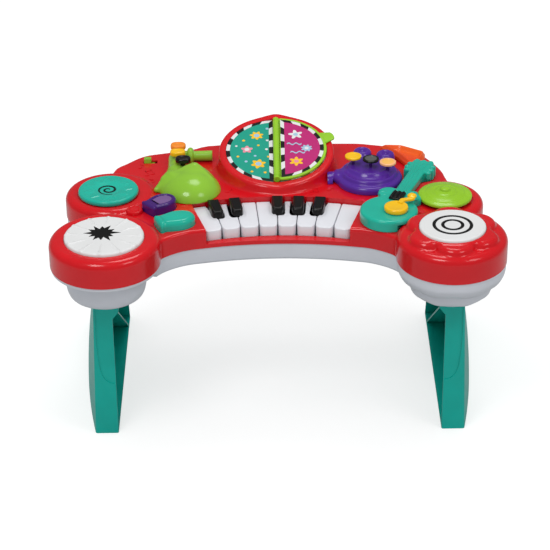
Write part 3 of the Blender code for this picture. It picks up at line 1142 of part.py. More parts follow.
def make_bottom_casing():
    """The grey tray under the seam, with cups for the legs, a battery bay, posts and a speaker grille."""
    outline = grown(arch_outline(), -CASING_STEP)
    casing = piece("bottom_casing", prism(outline, BAND_Z, SEAM_Z - GAP, 0, CUP_ROUND), "grey plastic")
    for index, shape in enumerate(bowls(0, CUP_BOTTOM_Z)):
        add(casing, f"bowl_{index}", shape)
    cut(casing, "tray_hollow", prism(grown(outline, -WALL), BAND_Z + WALL, SEAM_Z + OVERRUN))
    for index, shape in enumerate(bowls(WALL, CUP_BOTTOM_Z + WALL)):
        cut(casing, f"bowl_hollow_{index}", shape)
    ring = RING_RADIUS - CASING_STEP
    add(casing, "ring_band", lathe([(0, SEAM_Z - GAP), (ring, SEAM_Z - GAP), (ring, BAND_Z + CUP_ROUND),
                                    (ring - CUP_ROUND, BAND_Z), (0, BAND_Z)], LARGE_SIDES, 0, BOOK_Y))
    cut(casing, "ring_hollow_low", drum(ring - WALL, BAND_Z + WALL, SEAM_Z + OVERRUN, 0, BOOK_Y,
                                        LARGE_SIDES))
    slots = [prism(tenon_outline(side, GAP), CUP_BOTTOM_Z - OVERRUN,
                   CUP_BOTTOM_Z + WALL + OVERRUN) for side in (-1, 1)]
    cut(casing, "leg_sockets", *slots)

    floor_z = BAND_Z + WALL / 2
    posts = [drum(POST_RADIUS, floor_z, SEAM_Z - GAP, x, y, POST_SIDES) for x, y in POST_PLACES]
    board_low = floor_z
    board_z = BAND_Z + WALL + BOARD_POST_HEIGHT
    posts += [drum(POST_RADIUS, board_low, board_z, BOARD_X + a * BOARD_WIDTH / 3, BOARD_Y,
                   POST_SIDES) for a in (-1, 1)]
    key_board = KEY_BOTTOM_Z - KEY_DIP - RUBBER_HEIGHT - BOARD_THICKNESS - GAP
    board_mid = KEY_FRONT + KEY_BOARD_MARGIN + KEY_BOARD_WIDTH / 2
    rail_low = TAIL_BOTTOM_Z - GAP - RAIL_WALL - GAP
    for side in (-1, 1):
        x, y = fan(board_mid, side * KEYBOARD_HALF_ANGLE * 0.6)
        posts.append(drum(POST_RADIUS, board_low, key_board, x, y, POST_SIDES))
        x, y = fan(KEY_REAR + POST_RADIUS + KEY_GAP * 2, side * KEYBOARD_HALF_ANGLE * 0.6)
        posts.append(drum(POST_RADIUS, board_low, rail_low, x, y, POST_SIDES))
    add(casing, "casing_posts", *posts)
    seat = SEAM_Z - SCREW_SEAT_DROP
    bores = []
    for x, y in POST_PLACES:
        bores.append(lathe([(0, SEAM_Z + OVERRUN), (POST_BORE, SEAM_Z + OVERRUN), (POST_BORE, seat),
                            (SCREW_RECESS_RADIUS, seat), (SCREW_RECESS_RADIUS, BAND_Z - OVERRUN),
                            (0, BAND_Z - OVERRUN)],
                           POST_SIDES, x, y))
    cut(casing, "post_bores", *bores)

    half, deep = BAY_WIDTH / 2, BAY_LENGTH / 2
    roof = BAND_Z + DOOR_THICKNESS + GAP + BAY_HEIGHT
    add(casing, "bay_tub", box(-half - BAY_WALL, half + BAY_WALL, BAY_Y - deep - BAY_WALL,
                               BAY_Y + deep + BAY_WALL,
                               floor_z, roof + BAY_WALL))
    ear = DOOR_EAR_WIDTH / 2
    ear_back = BAY_Y + deep + DOOR_EAR_LENGTH
    add(casing, "ear_boss", box(-ear - BAY_WALL, ear + BAY_WALL, BAY_Y + deep, ear_back + BAY_WALL, floor_z,
                                BAND_Z + BAY_HEIGHT))
    cut(casing, "bay_hollow", box(-half, half, BAY_Y - deep, BAY_Y + deep, BAND_Z - OVERRUN, roof))
    cut(casing, "door_hole", box(-half - DOOR_LIP / 2, half + DOOR_LIP / 2, BAY_Y - deep - DOOR_LIP / 2,
                                 BAY_Y + deep + DOOR_LIP / 2, BAND_Z - OVERRUN,
                                 BAND_Z + DOOR_THICKNESS + GAP))
    cut(casing, "ear_hole", box(-ear, ear, BAY_Y + deep - OVERRUN, ear_back, BAND_Z - OVERRUN,
                                BAND_Z + DOOR_THICKNESS + GAP))
    screw_y = BAY_Y + deep + DOOR_EAR_LENGTH / 2
    cut(casing, "ear_bore", drum(POST_BORE, BAND_Z - OVERRUN, BAND_Z + BAY_HEIGHT - WALL, 0, screw_y,
                                 POST_SIDES))
    start = -(GRILLE_SLOTS - 1) / 2 * GRILLE_SLOT_PITCH
    slots = []
    for index in range(GRILLE_SLOTS):
        y = SPEAKER_Y + start + index * GRILLE_SLOT_PITCH
        slots.append(box(SPEAKER_X - GRILLE_SLOT_LENGTH / 2, SPEAKER_X + GRILLE_SLOT_LENGTH / 2,
                         y - GRILLE_SLOT_WIDTH / 2, y + GRILLE_SLOT_WIDTH / 2, BAND_Z - OVERRUN,
                         BAND_Z + WALL + OVERRUN))
    cut(casing, "speaker_grille", *slots)


def make_screw(name, x, y, seat, length):
    """A pan head screw driven upwards, its head under the seat."""
    top = seat + length
    profile = [(0, top), (SCREW_RADIUS * 0.5, top), (SCREW_RADIUS, top - SCREW_RADIUS),
               (SCREW_RADIUS, seat - GAP),
               (SCREW_HEAD_RADIUS, seat - GAP), (SCREW_HEAD_RADIUS, seat - GAP - SCREW_HEAD_HEIGHT / 2),
               (SCREW_HEAD_RADIUS * 0.7, seat - GAP - SCREW_HEAD_HEIGHT),
               (0, seat - GAP - SCREW_HEAD_HEIGHT)]
    piece(name, lathe(profile, POST_SIDES, x, y), "steel")


def make_insides():
    """Screws, battery door and cells, speaker and main board."""
    for number, (x, y) in enumerate(POST_PLACES, 1):
        make_screw(f"case_screw_{number}", x, y, SEAM_Z - SCREW_SEAT_DROP, SCREW_SHAFT)
    half, deep = BAY_WIDTH / 2 + DOOR_LIP / 2 - GAP, BAY_LENGTH / 2 + DOOR_LIP / 2 - GAP
    ear = DOOR_EAR_WIDTH / 2 - GAP
    ear_back = BAY_Y + BAY_LENGTH / 2 + DOOR_EAR_LENGTH - GAP
    outline = [(-half, BAY_Y - deep), (half, BAY_Y - deep), (half, BAY_Y + deep), (ear, BAY_Y + deep),
               (ear, ear_back),
               (-ear, ear_back), (-ear, BAY_Y + deep), (-half, BAY_Y + deep)]
    door = piece("battery_door", prism(outline, BAND_Z, BAND_Z + DOOR_THICKNESS), "grey plastic")
    screw_y = BAY_Y + BAY_LENGTH / 2 + DOOR_EAR_LENGTH / 2
    cut(door, "door_screw_hole", drum(SCREW_RECESS_RADIUS, BAND_Z - OVERRUN,
                                      BAND_Z + DOOR_THICKNESS + OVERRUN,
                                      0, screw_y, SMALL_SIDES))
    make_screw("battery_door_screw", 0, screw_y, BAND_Z + DOOR_THICKNESS + GAP, SCREW_SHAFT / 2)
    cell_z = BAND_Z + DOOR_THICKNESS + GAP + BATTERY_RADIUS
    for index in range(3):
        x = (index - 1) * BATTERY_SPACING
        long = BATTERY_LENGTH / 2
        nub = long + BATTERY_NUB_LENGTH
        cell = lathe([(0, nub), (BATTERY_NUB_RADIUS, nub), (BATTERY_NUB_RADIUS, long),
                      (BATTERY_RADIUS, long),
                      (BATTERY_RADIUS, -long), (0, -long)], SMALL_SIDES + 4)
        turn = math.pi / 2 if index % 2 else -math.pi / 2
        place = Matrix.Translation((x, BAY_Y, cell_z)) @ Matrix.Rotation(turn, 4, "X")
        bmesh.ops.transform(cell, matrix=place, verts=cell.verts)
        piece(f"battery_{index + 1}", cell, "battery sleeve")
    low = BAND_Z + WALL + GAP
    piece("speaker", lathe([(0, low + SPEAKER_HEIGHT), (SPEAKER_MAGNET_RADIUS, low + SPEAKER_HEIGHT),
                            (SPEAKER_MAGNET_RADIUS, low + SPEAKER_HEIGHT - SPEAKER_MAGNET_HEIGHT),
                            (SPEAKER_RADIUS, low + WALL), (SPEAKER_RADIUS, low), (0, low)], ROUND_SIDES,
                           SPEAKER_X, SPEAKER_Y), "rubber")
    board_z = BAND_Z + WALL + BOARD_POST_HEIGHT + GAP
    half, deep = BOARD_WIDTH / 2, BOARD_LENGTH / 2
    board = piece("main_board", box(BOARD_X - half, BOARD_X + half, BOARD_Y - deep, BOARD_Y + deep, board_z,
                                    board_z + BOARD_THICKNESS), "circuit board")
    add(board, "board_chip", box(BOARD_X - CHIP_SIZE / 2, BOARD_X + CHIP_SIZE / 2, BOARD_Y - CHIP_SIZE / 2,
                                 BOARD_Y + CHIP_SIZE / 2, board_z + GAP,
                                 board_z + BOARD_THICKNESS + CHIP_HEIGHT))


def leg_block(inset, open_side):
    """A leg's board as a closed block: straight inside, swelling outside, its back edge slanting.
    The inset makes it smaller by a wall; open_side pushes its inner face out of the leg."""
    columns, rows = 10, 8
    top_z = BAND_Z - GAP - inset
    low_z = inset
    bm = bmesh.new()
    grids = {}
    for face in ("inner", "outer"):
        grid = []
        for row in range(rows + 1):
            t = row / rows
            z = low_z + (top_z - low_z) * t
            back = LEG_BACK_Y + (LEG_TOP_BACK_Y - LEG_BACK_Y) * (z / BAND_Z) - inset
            front = LEG_FRONT_Y + inset
            line = []
            for column in range(columns + 1):
                y = front + (back - front) * (column / columns)
                share = max(0.0, min(1.0, (y - LEG_FRONT_Y) / (LEG_BACK_Y - LEG_FRONT_Y)))
                swell = 1 - (1 - share) ** LEG_BULGE_POWER
                fade = max(0.0, 1 - (z / LEG_BULGE_HEIGHT) ** 2)
                outer = LEG_OUTER_X - LEG_OUTER_LEAN * z / BAND_Z + LEG_BULGE * swell * fade - inset
                x = outer if face == "outer" else LEG_INNER_X - open_side
                line.append(bm.verts.new((x, y, z)))
            grid.append(line)
        grids[face] = grid
    inner, outer = grids["inner"], grids["outer"]
    for row in range(rows):
        for column in range(columns):
            bm.faces.new((outer[row][column], outer[row][column + 1], outer[row + 1][column + 1],
                          outer[row + 1][column]))
            bm.faces.new((inner[row][column], inner[row + 1][column], inner[row + 1][column + 1],
                          inner[row][column + 1]))
    for column in range(columns):
        bm.faces.new((inner[0][column], inner[0][column + 1], outer[0][column + 1], outer[0][column]))
        bm.faces.new((inner[rows][column], outer[rows][column], outer[rows][column + 1],
                      inner[rows][column + 1]))
    for row in range(rows):
        bm.faces.new((inner[row][0], outer[row][0], outer[row + 1][0], inner[row + 1][0]))
        bm.faces.new((inner[row][columns], inner[row + 1][columns], outer[row + 1][columns],
                      outer[row][columns]))
    bmesh.ops.recalc_face_normals(bm, faces=bm.faces)
    bmesh.ops.dissolve_limit(bm, angle_limit=math.radians(0.5), verts=bm.verts, edges=bm.edges)
    return bm


def side_prism(outline, x0, x1):
    """A block over an outline of (y, z) points, between two x planes."""
    bm = prism(outline, x0, x1)
    turn = Matrix(((0, 0, 1, 0), (1, 0, 0, 0), (0, 1, 0, 0), (0, 0, 0, 1)))
    bmesh.ops.transform(bm, matrix=turn, verts=bm.verts)
    return bm


def make_leg(name, side):
    """One leg: the board's shell, its slanting ribs, the collar and the block that plugs into the cup."""
    mirror = Matrix.Diagonal((side, 1, 1, 1))

    def sided(bm):
        if side < 0:
            bmesh.ops.transform(bm, matrix=mirror, verts=bm.verts)
            bmesh.ops.reverse_faces(bm, faces=bm.faces)
        return bm
    leg = piece(name, sided(leg_block(0, 0)), "leg plastic")
    cut(leg, name + "_channel", sided(leg_block(LEG_WALL, OVERRUN)))
    height = BAND_Z
    for index in range(LEG_RIB_COUNT):
        start_y = LEG_FRONT_Y + LEG_WALL / 2 + index * LEG_RIB_PITCH
        z_high = height * 0.86
        run = z_high / math.tan(LEG_RIB_SLOPE)
        thick = LEG_RIB / math.sin(LEG_RIB_SLOPE)
        outline = [(start_y, z_high), (start_y + run, 0), (start_y + run + thick, 0),
                   (start_y + thick, z_high)]
        rib = tool(f"{name}_rib_{index}",
                   sided(side_prism(outline, LEG_INNER_X + GAP * 2, LEG_OUTER_X + LEG_BULGE)))
        combine(rib, tool(f"{name}_rib_limit_{index}", sided(leg_block(LEG_WALL / 2, 0))), "INTERSECT")
        combine(leg, rib, "UNION")
    notch = [(LEG_FRONT_Y - OVERRUN, CUP_BOTTOM_Z - GAP), (LEG_NOTCH_Y, CUP_BOTTOM_Z - GAP),
             (LEG_NOTCH_Y, BAND_Z + OVERRUN),
             (LEG_FRONT_Y - OVERRUN, BAND_Z + OVERRUN)]
    cut(leg, name + "_notch", sided(side_prism(notch, LEG_INNER_X - OVERRUN, LEG_OUTER_X + OVERRUN)))
    top = CUP_BOTTOM_Z - GAP
    inner = LEG_INNER_X - COLLAR_INWARD
    outer = LEG_OUTER_X - LEG_OUTER_LEAN
    collar = [(LEG_FRONT_Y, inner), (COLLAR_BACK_Y, inner), (COLLAR_BACK_Y, outer - LEG_WALL / 2),
              (LEG_FRONT_Y, outer - LEG_WALL / 2)]
    add(leg, name + "_collar", sided(prism([(x, y) for y, x in collar][::-1], top - COLLAR_DROP, top)))
    add(leg, name + "_tenon", sided(prism(tenon_outline(1, 0), top - WALL, top + TENON_HEIGHT)))
    low, high = PANEL_LOW_Z, PANEL_HIGH_Z
    left, right = LEG_INNER_X + PANEL_MARGIN, LEG_OUTER_X - LEG_OUTER_LEAN - PANEL_MARGIN
    middle = (left + right) / 2
    panel = [(left, high), (left, low + PANEL_MARGIN), (middle, low), (right, low + PANEL_MARGIN * 4),
             (right, high)]
    recess = prism(panel, LEG_FRONT_Y - OVERRUN, LEG_FRONT_Y + PANEL_DEPTH)
    turn = Matrix(((1, 0, 0, 0), (0, 0, 1, 0), (0, 1, 0, 0), (0, 0, 0, 1)))
    bmesh.ops.transform(recess, matrix=turn, verts=recess.verts)
    bmesh.ops.recalc_face_normals(recess, faces=recess.faces)
    cut(leg, name + "_front_panel", sided(recess))


make_top_casing()
make_book()
make_white_keys()
make_black_keys()
make_key_rail()
make_pads()
make_disc_and_cymbal()
make_maracas()
make_sax()
make_horn()
make_guitar()
make_slider()
make_bottom_casing()
make_insides()
make_leg("left_leg", -1)
make_leg("right_leg", 1)
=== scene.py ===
"""Musical activity table: the looks of every piece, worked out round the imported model."""
import math

import bmesh
import bpy
import numpy as np
from bpy.props import FloatProperty, FloatVectorProperty, IntProperty, PointerProperty
from mathutils import Matrix, Vector


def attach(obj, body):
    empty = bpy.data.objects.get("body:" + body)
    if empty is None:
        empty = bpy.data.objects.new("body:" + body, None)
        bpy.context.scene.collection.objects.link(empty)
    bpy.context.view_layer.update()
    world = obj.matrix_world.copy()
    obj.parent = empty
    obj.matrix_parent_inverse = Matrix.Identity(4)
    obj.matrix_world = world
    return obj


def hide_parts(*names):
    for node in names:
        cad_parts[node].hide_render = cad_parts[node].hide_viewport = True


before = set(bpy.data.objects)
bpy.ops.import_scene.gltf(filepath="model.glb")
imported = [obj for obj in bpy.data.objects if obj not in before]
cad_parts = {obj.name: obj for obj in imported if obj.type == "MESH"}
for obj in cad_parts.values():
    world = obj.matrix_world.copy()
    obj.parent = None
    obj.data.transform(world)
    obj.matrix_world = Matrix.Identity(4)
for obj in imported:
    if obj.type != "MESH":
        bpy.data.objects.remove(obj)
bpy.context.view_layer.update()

bl_info = {
    "name": "Musical activity table",
    "version": (1, 0, 0),
    "blender": (4, 5, 0),
    "location": "3D View > Sidebar > Activity table",
    "description": "Builds the pieces of a toddler's musical activity table round its packed model",
    "category": "Add Mesh",
}

MM = 0.001
# The plan below is in millimetres, with the keyboard's middle at x = 0; the model's own origin lies this
# far back.
PLAN_SHIFT = 9.0

# Heights
CUP_LOW, BAND_LOW, SEAM, LEDGE, DECK = 189.0, 208.0, 230.0, 235.0, 254.0
BEZEL_TOP = 270.0
WALL, GAP, OVERRUN = 2.5, 0.3, 3.0
DECK_UNDER = DECK - WALL
# Levels that cuts run to: under and over the tray, under the shell, and through the deck
UNDER_TRAY, OVER_TRAY, UNDER_SHELL, THROUGH_DECK = 200.0, 245.0, 215.0, (240.0, 275.0)
# Round parts that move, and the gap between each and its opening
LEFT_PAD, RIGHT_PAD, STEM, CLEARANCE = 46.0, 38.5, 3.0, 0.5
ON_DECK = 254.35
FLANGE_LOW, FLANGE_TOP = 249.6, 251.2

# Plan: centre x, centre y, radius, top of each round lobe
LOBES = ((-200.0, -108.0, 64.0, 262.0), (200.0, -108.0, 64.0, 262.0),
         (-200.0, 15.0, 54.0, 258.0), (195.0, -12.0, 50.0, 258.0))
LEFT_DRUM, RIGHT_DRUM = LOBES[0][:2], LOBES[1][:2]
DISC, CYMBAL = (-202.0, 10.0), (199.0, -15.0)
HALF_WIDTH, HALF_DEPTH = 205.0, 150.0
FRONT_ARC_Y, FRONT_ARC_RADIUS, FRONT_ARC_HALF = -70.0, 420.0, 105.0
FLARE = ((1.16, 0.85), (1.29, 0.955), (1.38, 1.09), (1.45, 1.20))
REAR = ((1.0, 0.02), (1.0, 0.36), (0.96, 0.55), (0.88, 0.75), (0.75, 0.88), (0.58, 0.955), (0.40, 0.985),
        (-0.33, 0.985), (-0.52, 0.90), (-0.67, 0.845), (-0.80, 0.79), (-0.90, 0.66), (-0.98, 0.50),
        (-1.0, 0.02))

# Book on its tilted ring
BOOK_Y, BOOK_Z, BOOK_TILT = 82.0, 277.0, math.radians(11)
BOOK_RADIUS, RING_RADIUS = 61.5, 70.5
CARD, PAGE, PAGE_CARD, SPINE_RADIUS, FRAME_BORDER = 3.0, 3.0, 1.2, 3.9, 3.5
CARD_INNER = SPINE_RADIUS + 0.4
PAGE_AXIS = GAP + PAGE / 2

# Keyboard fan
FAN_Y, KEY_FRONT, KEY_REAR = -367.5, 309.5, 370.5
KEY_PITCH, KEY_COUNT = math.radians(4.0), 8
KEY_TOP, KEY_BOTTOM, KEY_GAP = 248.0, 232.0, 0.8
TAIL_LOW, TAIL_TOP = 236.5, 243.5
BLACK_BOUNDARIES = (1, 2, 4, 5, 6)


def arc(x, y, radius, start, end, steps):
    """Points x + radius cos t, y + radius sin t for t from start to end."""
    t = np.linspace(start, end, steps + 1)
    return np.stack([x + radius * np.cos(t), y + radius * np.sin(t)], 1)


def spline(points, steps=5):
    """A closed curve through every point: the Catmull-Rom cubic of each point and its next three."""
    p = np.asarray(points, float)
    before, after, second = np.roll(p, 1, 0), np.roll(p, -1, 0), np.roll(p, -2, 0)
    t = (np.arange(steps) / steps)[None, :, None]
    p, before, after, second = (a[:, None, :] for a in (p, before, after, second))
    curve = 0.5 * (2 * p + (after - before) * t + (2 * before - 5 * p + 4 * after - second) * t ** 2
                   + (3 * p - before - 3 * after + second) * t ** 3)
    return curve.reshape(-1, 2)


def bends(p, before, after, width, steps):
    """Each corner as a parabola that starts a width before it and ends a width after it."""
    back, on = before - p, after - p
    back_length, on_length = (np.linalg.norm(v, axis=1, keepdims=True) for v in (back, on))
    start = p + back / back_length * np.minimum(width, back_length * 0.48)
    end = p + on / on_length * np.minimum(width, on_length * 0.48)
    t = np.linspace(0, 1, steps + 1)[None, :, None]
    start, p, end = start[:, None, :], p[:, None, :], end[:, None, :]
    return ((1 - t) ** 2 * start + 2 * t * (1 - t) * p + t ** 2 * end).reshape(-1, 2)


def corners_rounded(points, width, steps=4):
    """A closed outline with all its corners rounded, each by its own width or all by one."""
    p = np.asarray(points, float)
    width = np.broadcast_to(np.asarray(width, float), (len(p),))[:, None]
    return bends(p, np.roll(p, 1, 0), np.roll(p, -1, 0), width, steps)


def profile_rounded(points, width, steps=4):
    """An open profile with its inner corners rounded in the same way."""
    p = np.asarray(points, float)
    width = np.asarray(width, float)[1:-1, None]
    flat = np.vstack([p[:1], bends(p[1:-1], p[:-2], p[2:], width, steps), p[-1:]])
    keep = np.concatenate([[True], np.linalg.norm(np.diff(flat, axis=0), axis=1) > 1e-4])
    return flat[keep]


def turned_plan(points, x, y, turn):
    """Points turned about the origin by an angle and moved to x, y."""
    p = np.asarray(points, float)
    c, s = math.cos(turn), math.sin(turn)
    return np.stack([x + p[:, 0] * c - p[:, 1] * s, y + p[:, 0] * s + p[:, 1] * c], 1)


def anticlockwise(outline):
    """The outline in the order whose enclosed area, half the sum of cross products, is positive."""
    x, y = outline[:, 0], outline[:, 1]
    return outline if np.sum(x * np.roll(y, -1) - y * np.roll(x, -1)) > 0 else outline[::-1]


def grown(outline, width):
    """An outline moved outwards by a width: each point goes along the mean of its two edges' normals,
    by the width over the cosine of the half angle between them."""
    p = anticlockwise(np.asarray(outline, float))
    on = np.roll(p, -1, 0) - p
    on /= np.maximum(np.linalg.norm(on, axis=1, keepdims=True), 1e-9)
    normal = np.stack([on[:, 1], -on[:, 0]], 1)
    middle = normal + np.roll(normal, 1, 0)
    middle /= np.maximum(np.linalg.norm(middle, axis=1, keepdims=True), 1e-9)
    reach = width / np.maximum(np.sum(middle * normal, 1, keepdims=True), 0.4)
    return p + middle * reach


def fan(radius, angle):
    """A place on the keyboard's fan, by its distance from the fan's middle and its angle to the right."""
    return np.stack([radius * np.sin(angle), FAN_Y + radius * np.cos(angle)], -1)


def fan_sector(front, rear, half, margin, steps=16):
    """The outline of a sector of the keyboard's fan, widened at its sides by a margin."""
    near, far = half + margin / front, half + margin / rear
    return np.vstack([fan(front, np.linspace(-near, near, steps + 1)),
                      fan(rear, np.linspace(far, -far, steps + 1))])


def arch_outline():
    """The plan of the casing's middle: a hollow front arc, two flares and the humped rear, splined."""
    half = math.asin(FRONT_ARC_HALF / FRONT_ARC_RADIUS)
    front = arc(0, FRONT_ARC_Y - FRONT_ARC_RADIUS, FRONT_ARC_RADIUS, math.pi / 2 + half,
                math.pi / 2 - half, 12)
    flare = np.array(FLARE) * (FRONT_ARC_HALF, -108.0)
    rear = np.array(REAR) * (HALF_WIDTH, HALF_DEPTH)
    return anticlockwise(spline(np.vstack([flare[::-1] * (-1, 1), front, flare, rear]), 4))


def circle(x, y, cx, cy, radius):
    """Distance to an upright cylinder: the distance to its axis less its radius."""
    return np.hypot(x - cx, y - cy) - radius


def outline_distance(x, y, outline):
    """Distance to an outline, negative inside: the least distance to its edges, with the sign from
    counting the edges that a ray to the right crosses."""
    x, y = np.broadcast_arrays(np.asarray(x, np.float32), np.asarray(y, np.float32))
    best = np.full(x.shape, 1e9, np.float32)
    inside = np.zeros(x.shape, bool)
    for a, b in zip(outline, np.roll(outline, -1, 0)):
        ex, ey = b - a
        t = np.clip(((x - a[0]) * ex + (y - a[1]) * ey) / max(ex * ex + ey * ey, 1e-9), 0, 1)
        best = np.minimum(best, (x - a[0] - ex * t) ** 2 + (y - a[1] - ey * t) ** 2)
        if a[1] != b[1]:
            crosses = ((a[1] > y) != (b[1] > y)) & (x < a[0] + ex * (y - a[1]) / ey)
            inside ^= crosses
    return np.where(inside, -1, 1) * np.sqrt(best)


def block(distance, z, top, edge):
    """A field for an upright block with a rounded top edge: from its side's distance and the height
    over its top, both moved in by the edge's radius, the length of their positive parts."""
    a, b = distance + edge, z - top + edge
    return np.minimum(np.maximum(a, b), 0) + np.hypot(np.maximum(a, 0), np.maximum(b, 0)) - edge


def melt(a, b, width):
    """The lower of two fields, its crease filled by a parabola where they are closer than a width."""
    near = np.maximum(width - np.abs(a - b), 0) / width
    return np.minimum(a, b) - near * near * width / 4


def capsule(x, y, z, start, end, radius, end_radius=None):
    """Distance to a rod with round ends, whose radius goes evenly from one end to the other."""
    start, end = np.asarray(start, float), np.asarray(end, float)
    axis = end - start
    t = np.clip(((x - start[0]) * axis[0] + (y - start[1]) * axis[1] + (z - start[2]) * axis[2])
                / axis.dot(axis), 0, 1)
    thick = radius if end_radius is None else radius + (end_radius - radius) * t
    return np.sqrt((x - start[0] - axis[0] * t) ** 2 + (y - start[1] - axis[1] * t) ** 2
                   + (z - start[2] - axis[2] * t) ** 2) - thick


def egg(x, y, z, centre, half):
    """Near enough the distance to an egg: its stretched radius less 1, times its radius that way."""
    dx, dy, dz = (x - centre[0]) / half[0], (y - centre[1]) / half[1], (z - centre[2]) / half[2]
    stretched = np.sqrt(dx * dx + dy * dy + dz * dz) + 1e-6
    slope = np.sqrt((dx / half[0]) ** 2 + (dy / half[1]) ** 2 + (dz / half[2]) ** 2) + 1e-6
    return stretched * (stretched - 1) / slope


def grid_faces(rows, columns, close_columns=False):
    """The four-cornered faces of a grid of points numbered row by row."""
    a, b = np.meshgrid(np.arange(rows - 1), np.arange(columns if close_columns else columns - 1),
                       indexing="ij")
    c = (b + 1) % columns
    quads = np.stack([a * columns + b, a * columns + c, (a + 1) * columns + c, (a + 1) * columns + b], -1)
    return quads.reshape(-1, 4)


def outward(points, groups):
    """The skin with its faces turned round if the sum of the faces' cross products with their
    places, six times the enclosed volume, is negative."""
    volume = 0.0
    for faces, _ in groups:
        a = points[faces[:, 0]]
        for step in range(1, faces.shape[1] - 1):
            volume += np.einsum("ij,ij->", a, np.cross(points[faces[:, step]], points[faces[:, step + 1]]))
    if volume < 0:
        groups = [(faces[:, ::-1], slot) for faces, slot in groups]
    return points, groups


def closed_rows(points, number, top_slot=0):
    """A skin from points in a number of equal rows: faces between neighbouring rows, a flat face on each
    end."""
    count = len(points) // number
    ends = [(np.arange(count)[None, ::-1], 0),
            (np.arange(len(points) - count, len(points))[None, :], top_slot)]
    return outward(points, [(grid_faces(number, count, True), 0), *ends])


def turned(profile, sides, x=0.0, y=0.0, relief=None, slots=None):
    """A profile of (radius, height) points carried round an upright axis: x + r cos t, y + r sin t, h.
    Its first and last points lie on the axis and become poles. relief(r, t, h) is added to h."""
    profile = np.asarray(profile, float)
    ring = profile[1:-1]
    t = 2 * math.pi * np.arange(sides) / sides
    r, h = ring[:, :1], ring[:, 1:] + 0 * t[None, :]
    if relief is not None:
        h = h + relief(r + 0 * t[None, :], t[None, :] + 0 * r, h)
    grid = np.stack([x + r * np.cos(t), y + r * np.sin(t), h], -1).reshape(-1, 3)
    first, last = len(grid), len(grid) + 1
    points = np.vstack([grid, [(x, y, profile[0, 1]), (x, y, profile[-1, 1])]])
    around, base = np.arange(sides), (len(ring) - 1) * sides
    on = (around + 1) % sides
    slots = [0] * (len(profile) - 1) if slots is None else list(slots)
    groups = [(np.stack([np.full(sides, first), on, around], 1), slots[0]),
              (np.stack([np.full(sides, last), base + around, base + on], 1), slots[-1])]
    quads = grid_faces(len(ring), sides, True).reshape(len(ring) - 1, sides, 4)
    groups += [(band, slots[row + 1]) for row, band in enumerate(quads)]
    return outward(points, groups)


def raised(outline, low, high, top=0.0, bottom=0.0, steps=4, shape=None, top_slot=0):
    """An outline carried up from low to high. Near each end it is drawn in along a quarter circle:
    in by edge (1 - cos t) as it rises by edge sin t. Flat faces close both ends."""
    outline = anticlockwise(np.asarray(outline, float))
    levels = []
    if bottom:
        t = np.linspace(math.pi / 2, 0, steps + 1)
        levels += list(zip(bottom - bottom * np.cos(t), low + bottom - bottom * np.sin(t)))
    else:
        levels.append((0.0, low))
    if top:
        t = np.linspace(0, math.pi / 2, steps + 1)
        levels += list(zip(top - top * np.cos(t), high - top + top * np.sin(t)))
        levels.append((top + 0.15, high))
    else:
        levels.append((0.0, high))
    rings = [np.column_stack([grown(outline, -inset), np.full(len(outline), z)]) for inset, z in levels]
    points = np.vstack(rings)
    return closed_rows(points if shape is None else shape(points), len(rings), top_slot)


def moulded(field, low, high, step):
    """The skin where a field is nought, for shapes that melt into each other. Each grid cell that the
    skin crosses gets one point, the mean of the crossings on its edges, moved twice along the field's
    slope by the field's value over its steepness; each crossed grid edge gets one face."""
    axes = [np.arange(a, b + step, step) for a, b in zip(low, high)]
    value = field(*np.meshgrid(*axes, indexing="ij", sparse=True)).astype(np.float32)
    cells = np.array(value.shape) - 1
    total, count = np.zeros((np.prod(cells), 3)), np.zeros(np.prod(cells))
    faces = []
    for axis in range(3):
        near = np.take(value, range(cells[axis]), axis)
        far = np.take(value, range(1, cells[axis] + 1), axis)
        edge = np.argwhere((near < 0) != (far < 0))
        a, b = near[tuple(edge.T)], far[tuple(edge.T)]
        place = edge.astype(float)
        place[:, axis] += a / (a - b)
        first, second = (axis + 1) % 3, (axis + 2) % 3
        around = []
        for back_first, back_second in ((0, 0), (1, 0), (1, 1), (0, 1)):
            cell = edge.copy()
            cell[:, first] -= back_first
            cell[:, second] -= back_second
            around.append(cell)
        whole = np.all([np.all((cell >= 0) & (cell < cells), axis=1) for cell in around], axis=0)
        numbers = [np.ravel_multi_index(cell[whole].T, cells) for cell in around]
        for number in numbers:
            for column in range(3):
                total[:, column] += np.bincount(number, place[whole][:, column], len(total))
            count += np.bincount(number, minlength=len(count))
        quads = np.stack(numbers, 1)
        turn = a[whole] < 0
        quads[~turn] = quads[~turn][:, ::-1]
        faces.append(quads)
    used = np.flatnonzero(count)
    renumber = np.full(len(count), -1)
    renumber[used] = np.arange(len(used))
    points = total[used] / count[used][:, None] * step + np.array(low, float)
    h = step * 0.25
    for _ in range(2):
        x, y, z = points.T
        here = field(x, y, z)
        slope = np.stack([field(x + h, y, z) - here, field(x, y + h, z) - here,
                          field(x, y, z + h) - here], 1) / h
        steep = np.maximum(np.sum(slope * slope, 1), 0.05)
        move = -(here / steep)[:, None] * slope
        length = np.maximum(np.linalg.norm(move, axis=1, keepdims=True), 1e-9)
        points = points + move * np.minimum(1, step * 0.6 / length)
    return outward(points, [(renumber[np.vstack(faces)], 0)])


def tilted(skin):
    """A skin moved from the book's own frame, whose ground is the ring's sloping top, to the plan."""
    points, groups = skin
    c, s = math.cos(BOOK_TILT), math.sin(BOOK_TILT)
    x, y, z = points.T
    return np.stack([x, BOOK_Y + y * c - z * s, BOOK_Z + y * s + z * c], 1), groups


def in_world(points):
    """Plan millimetres to the model's metres."""
    return (np.asarray(points, float) + (0.0, PLAN_SHIFT, 0.0)) * MM


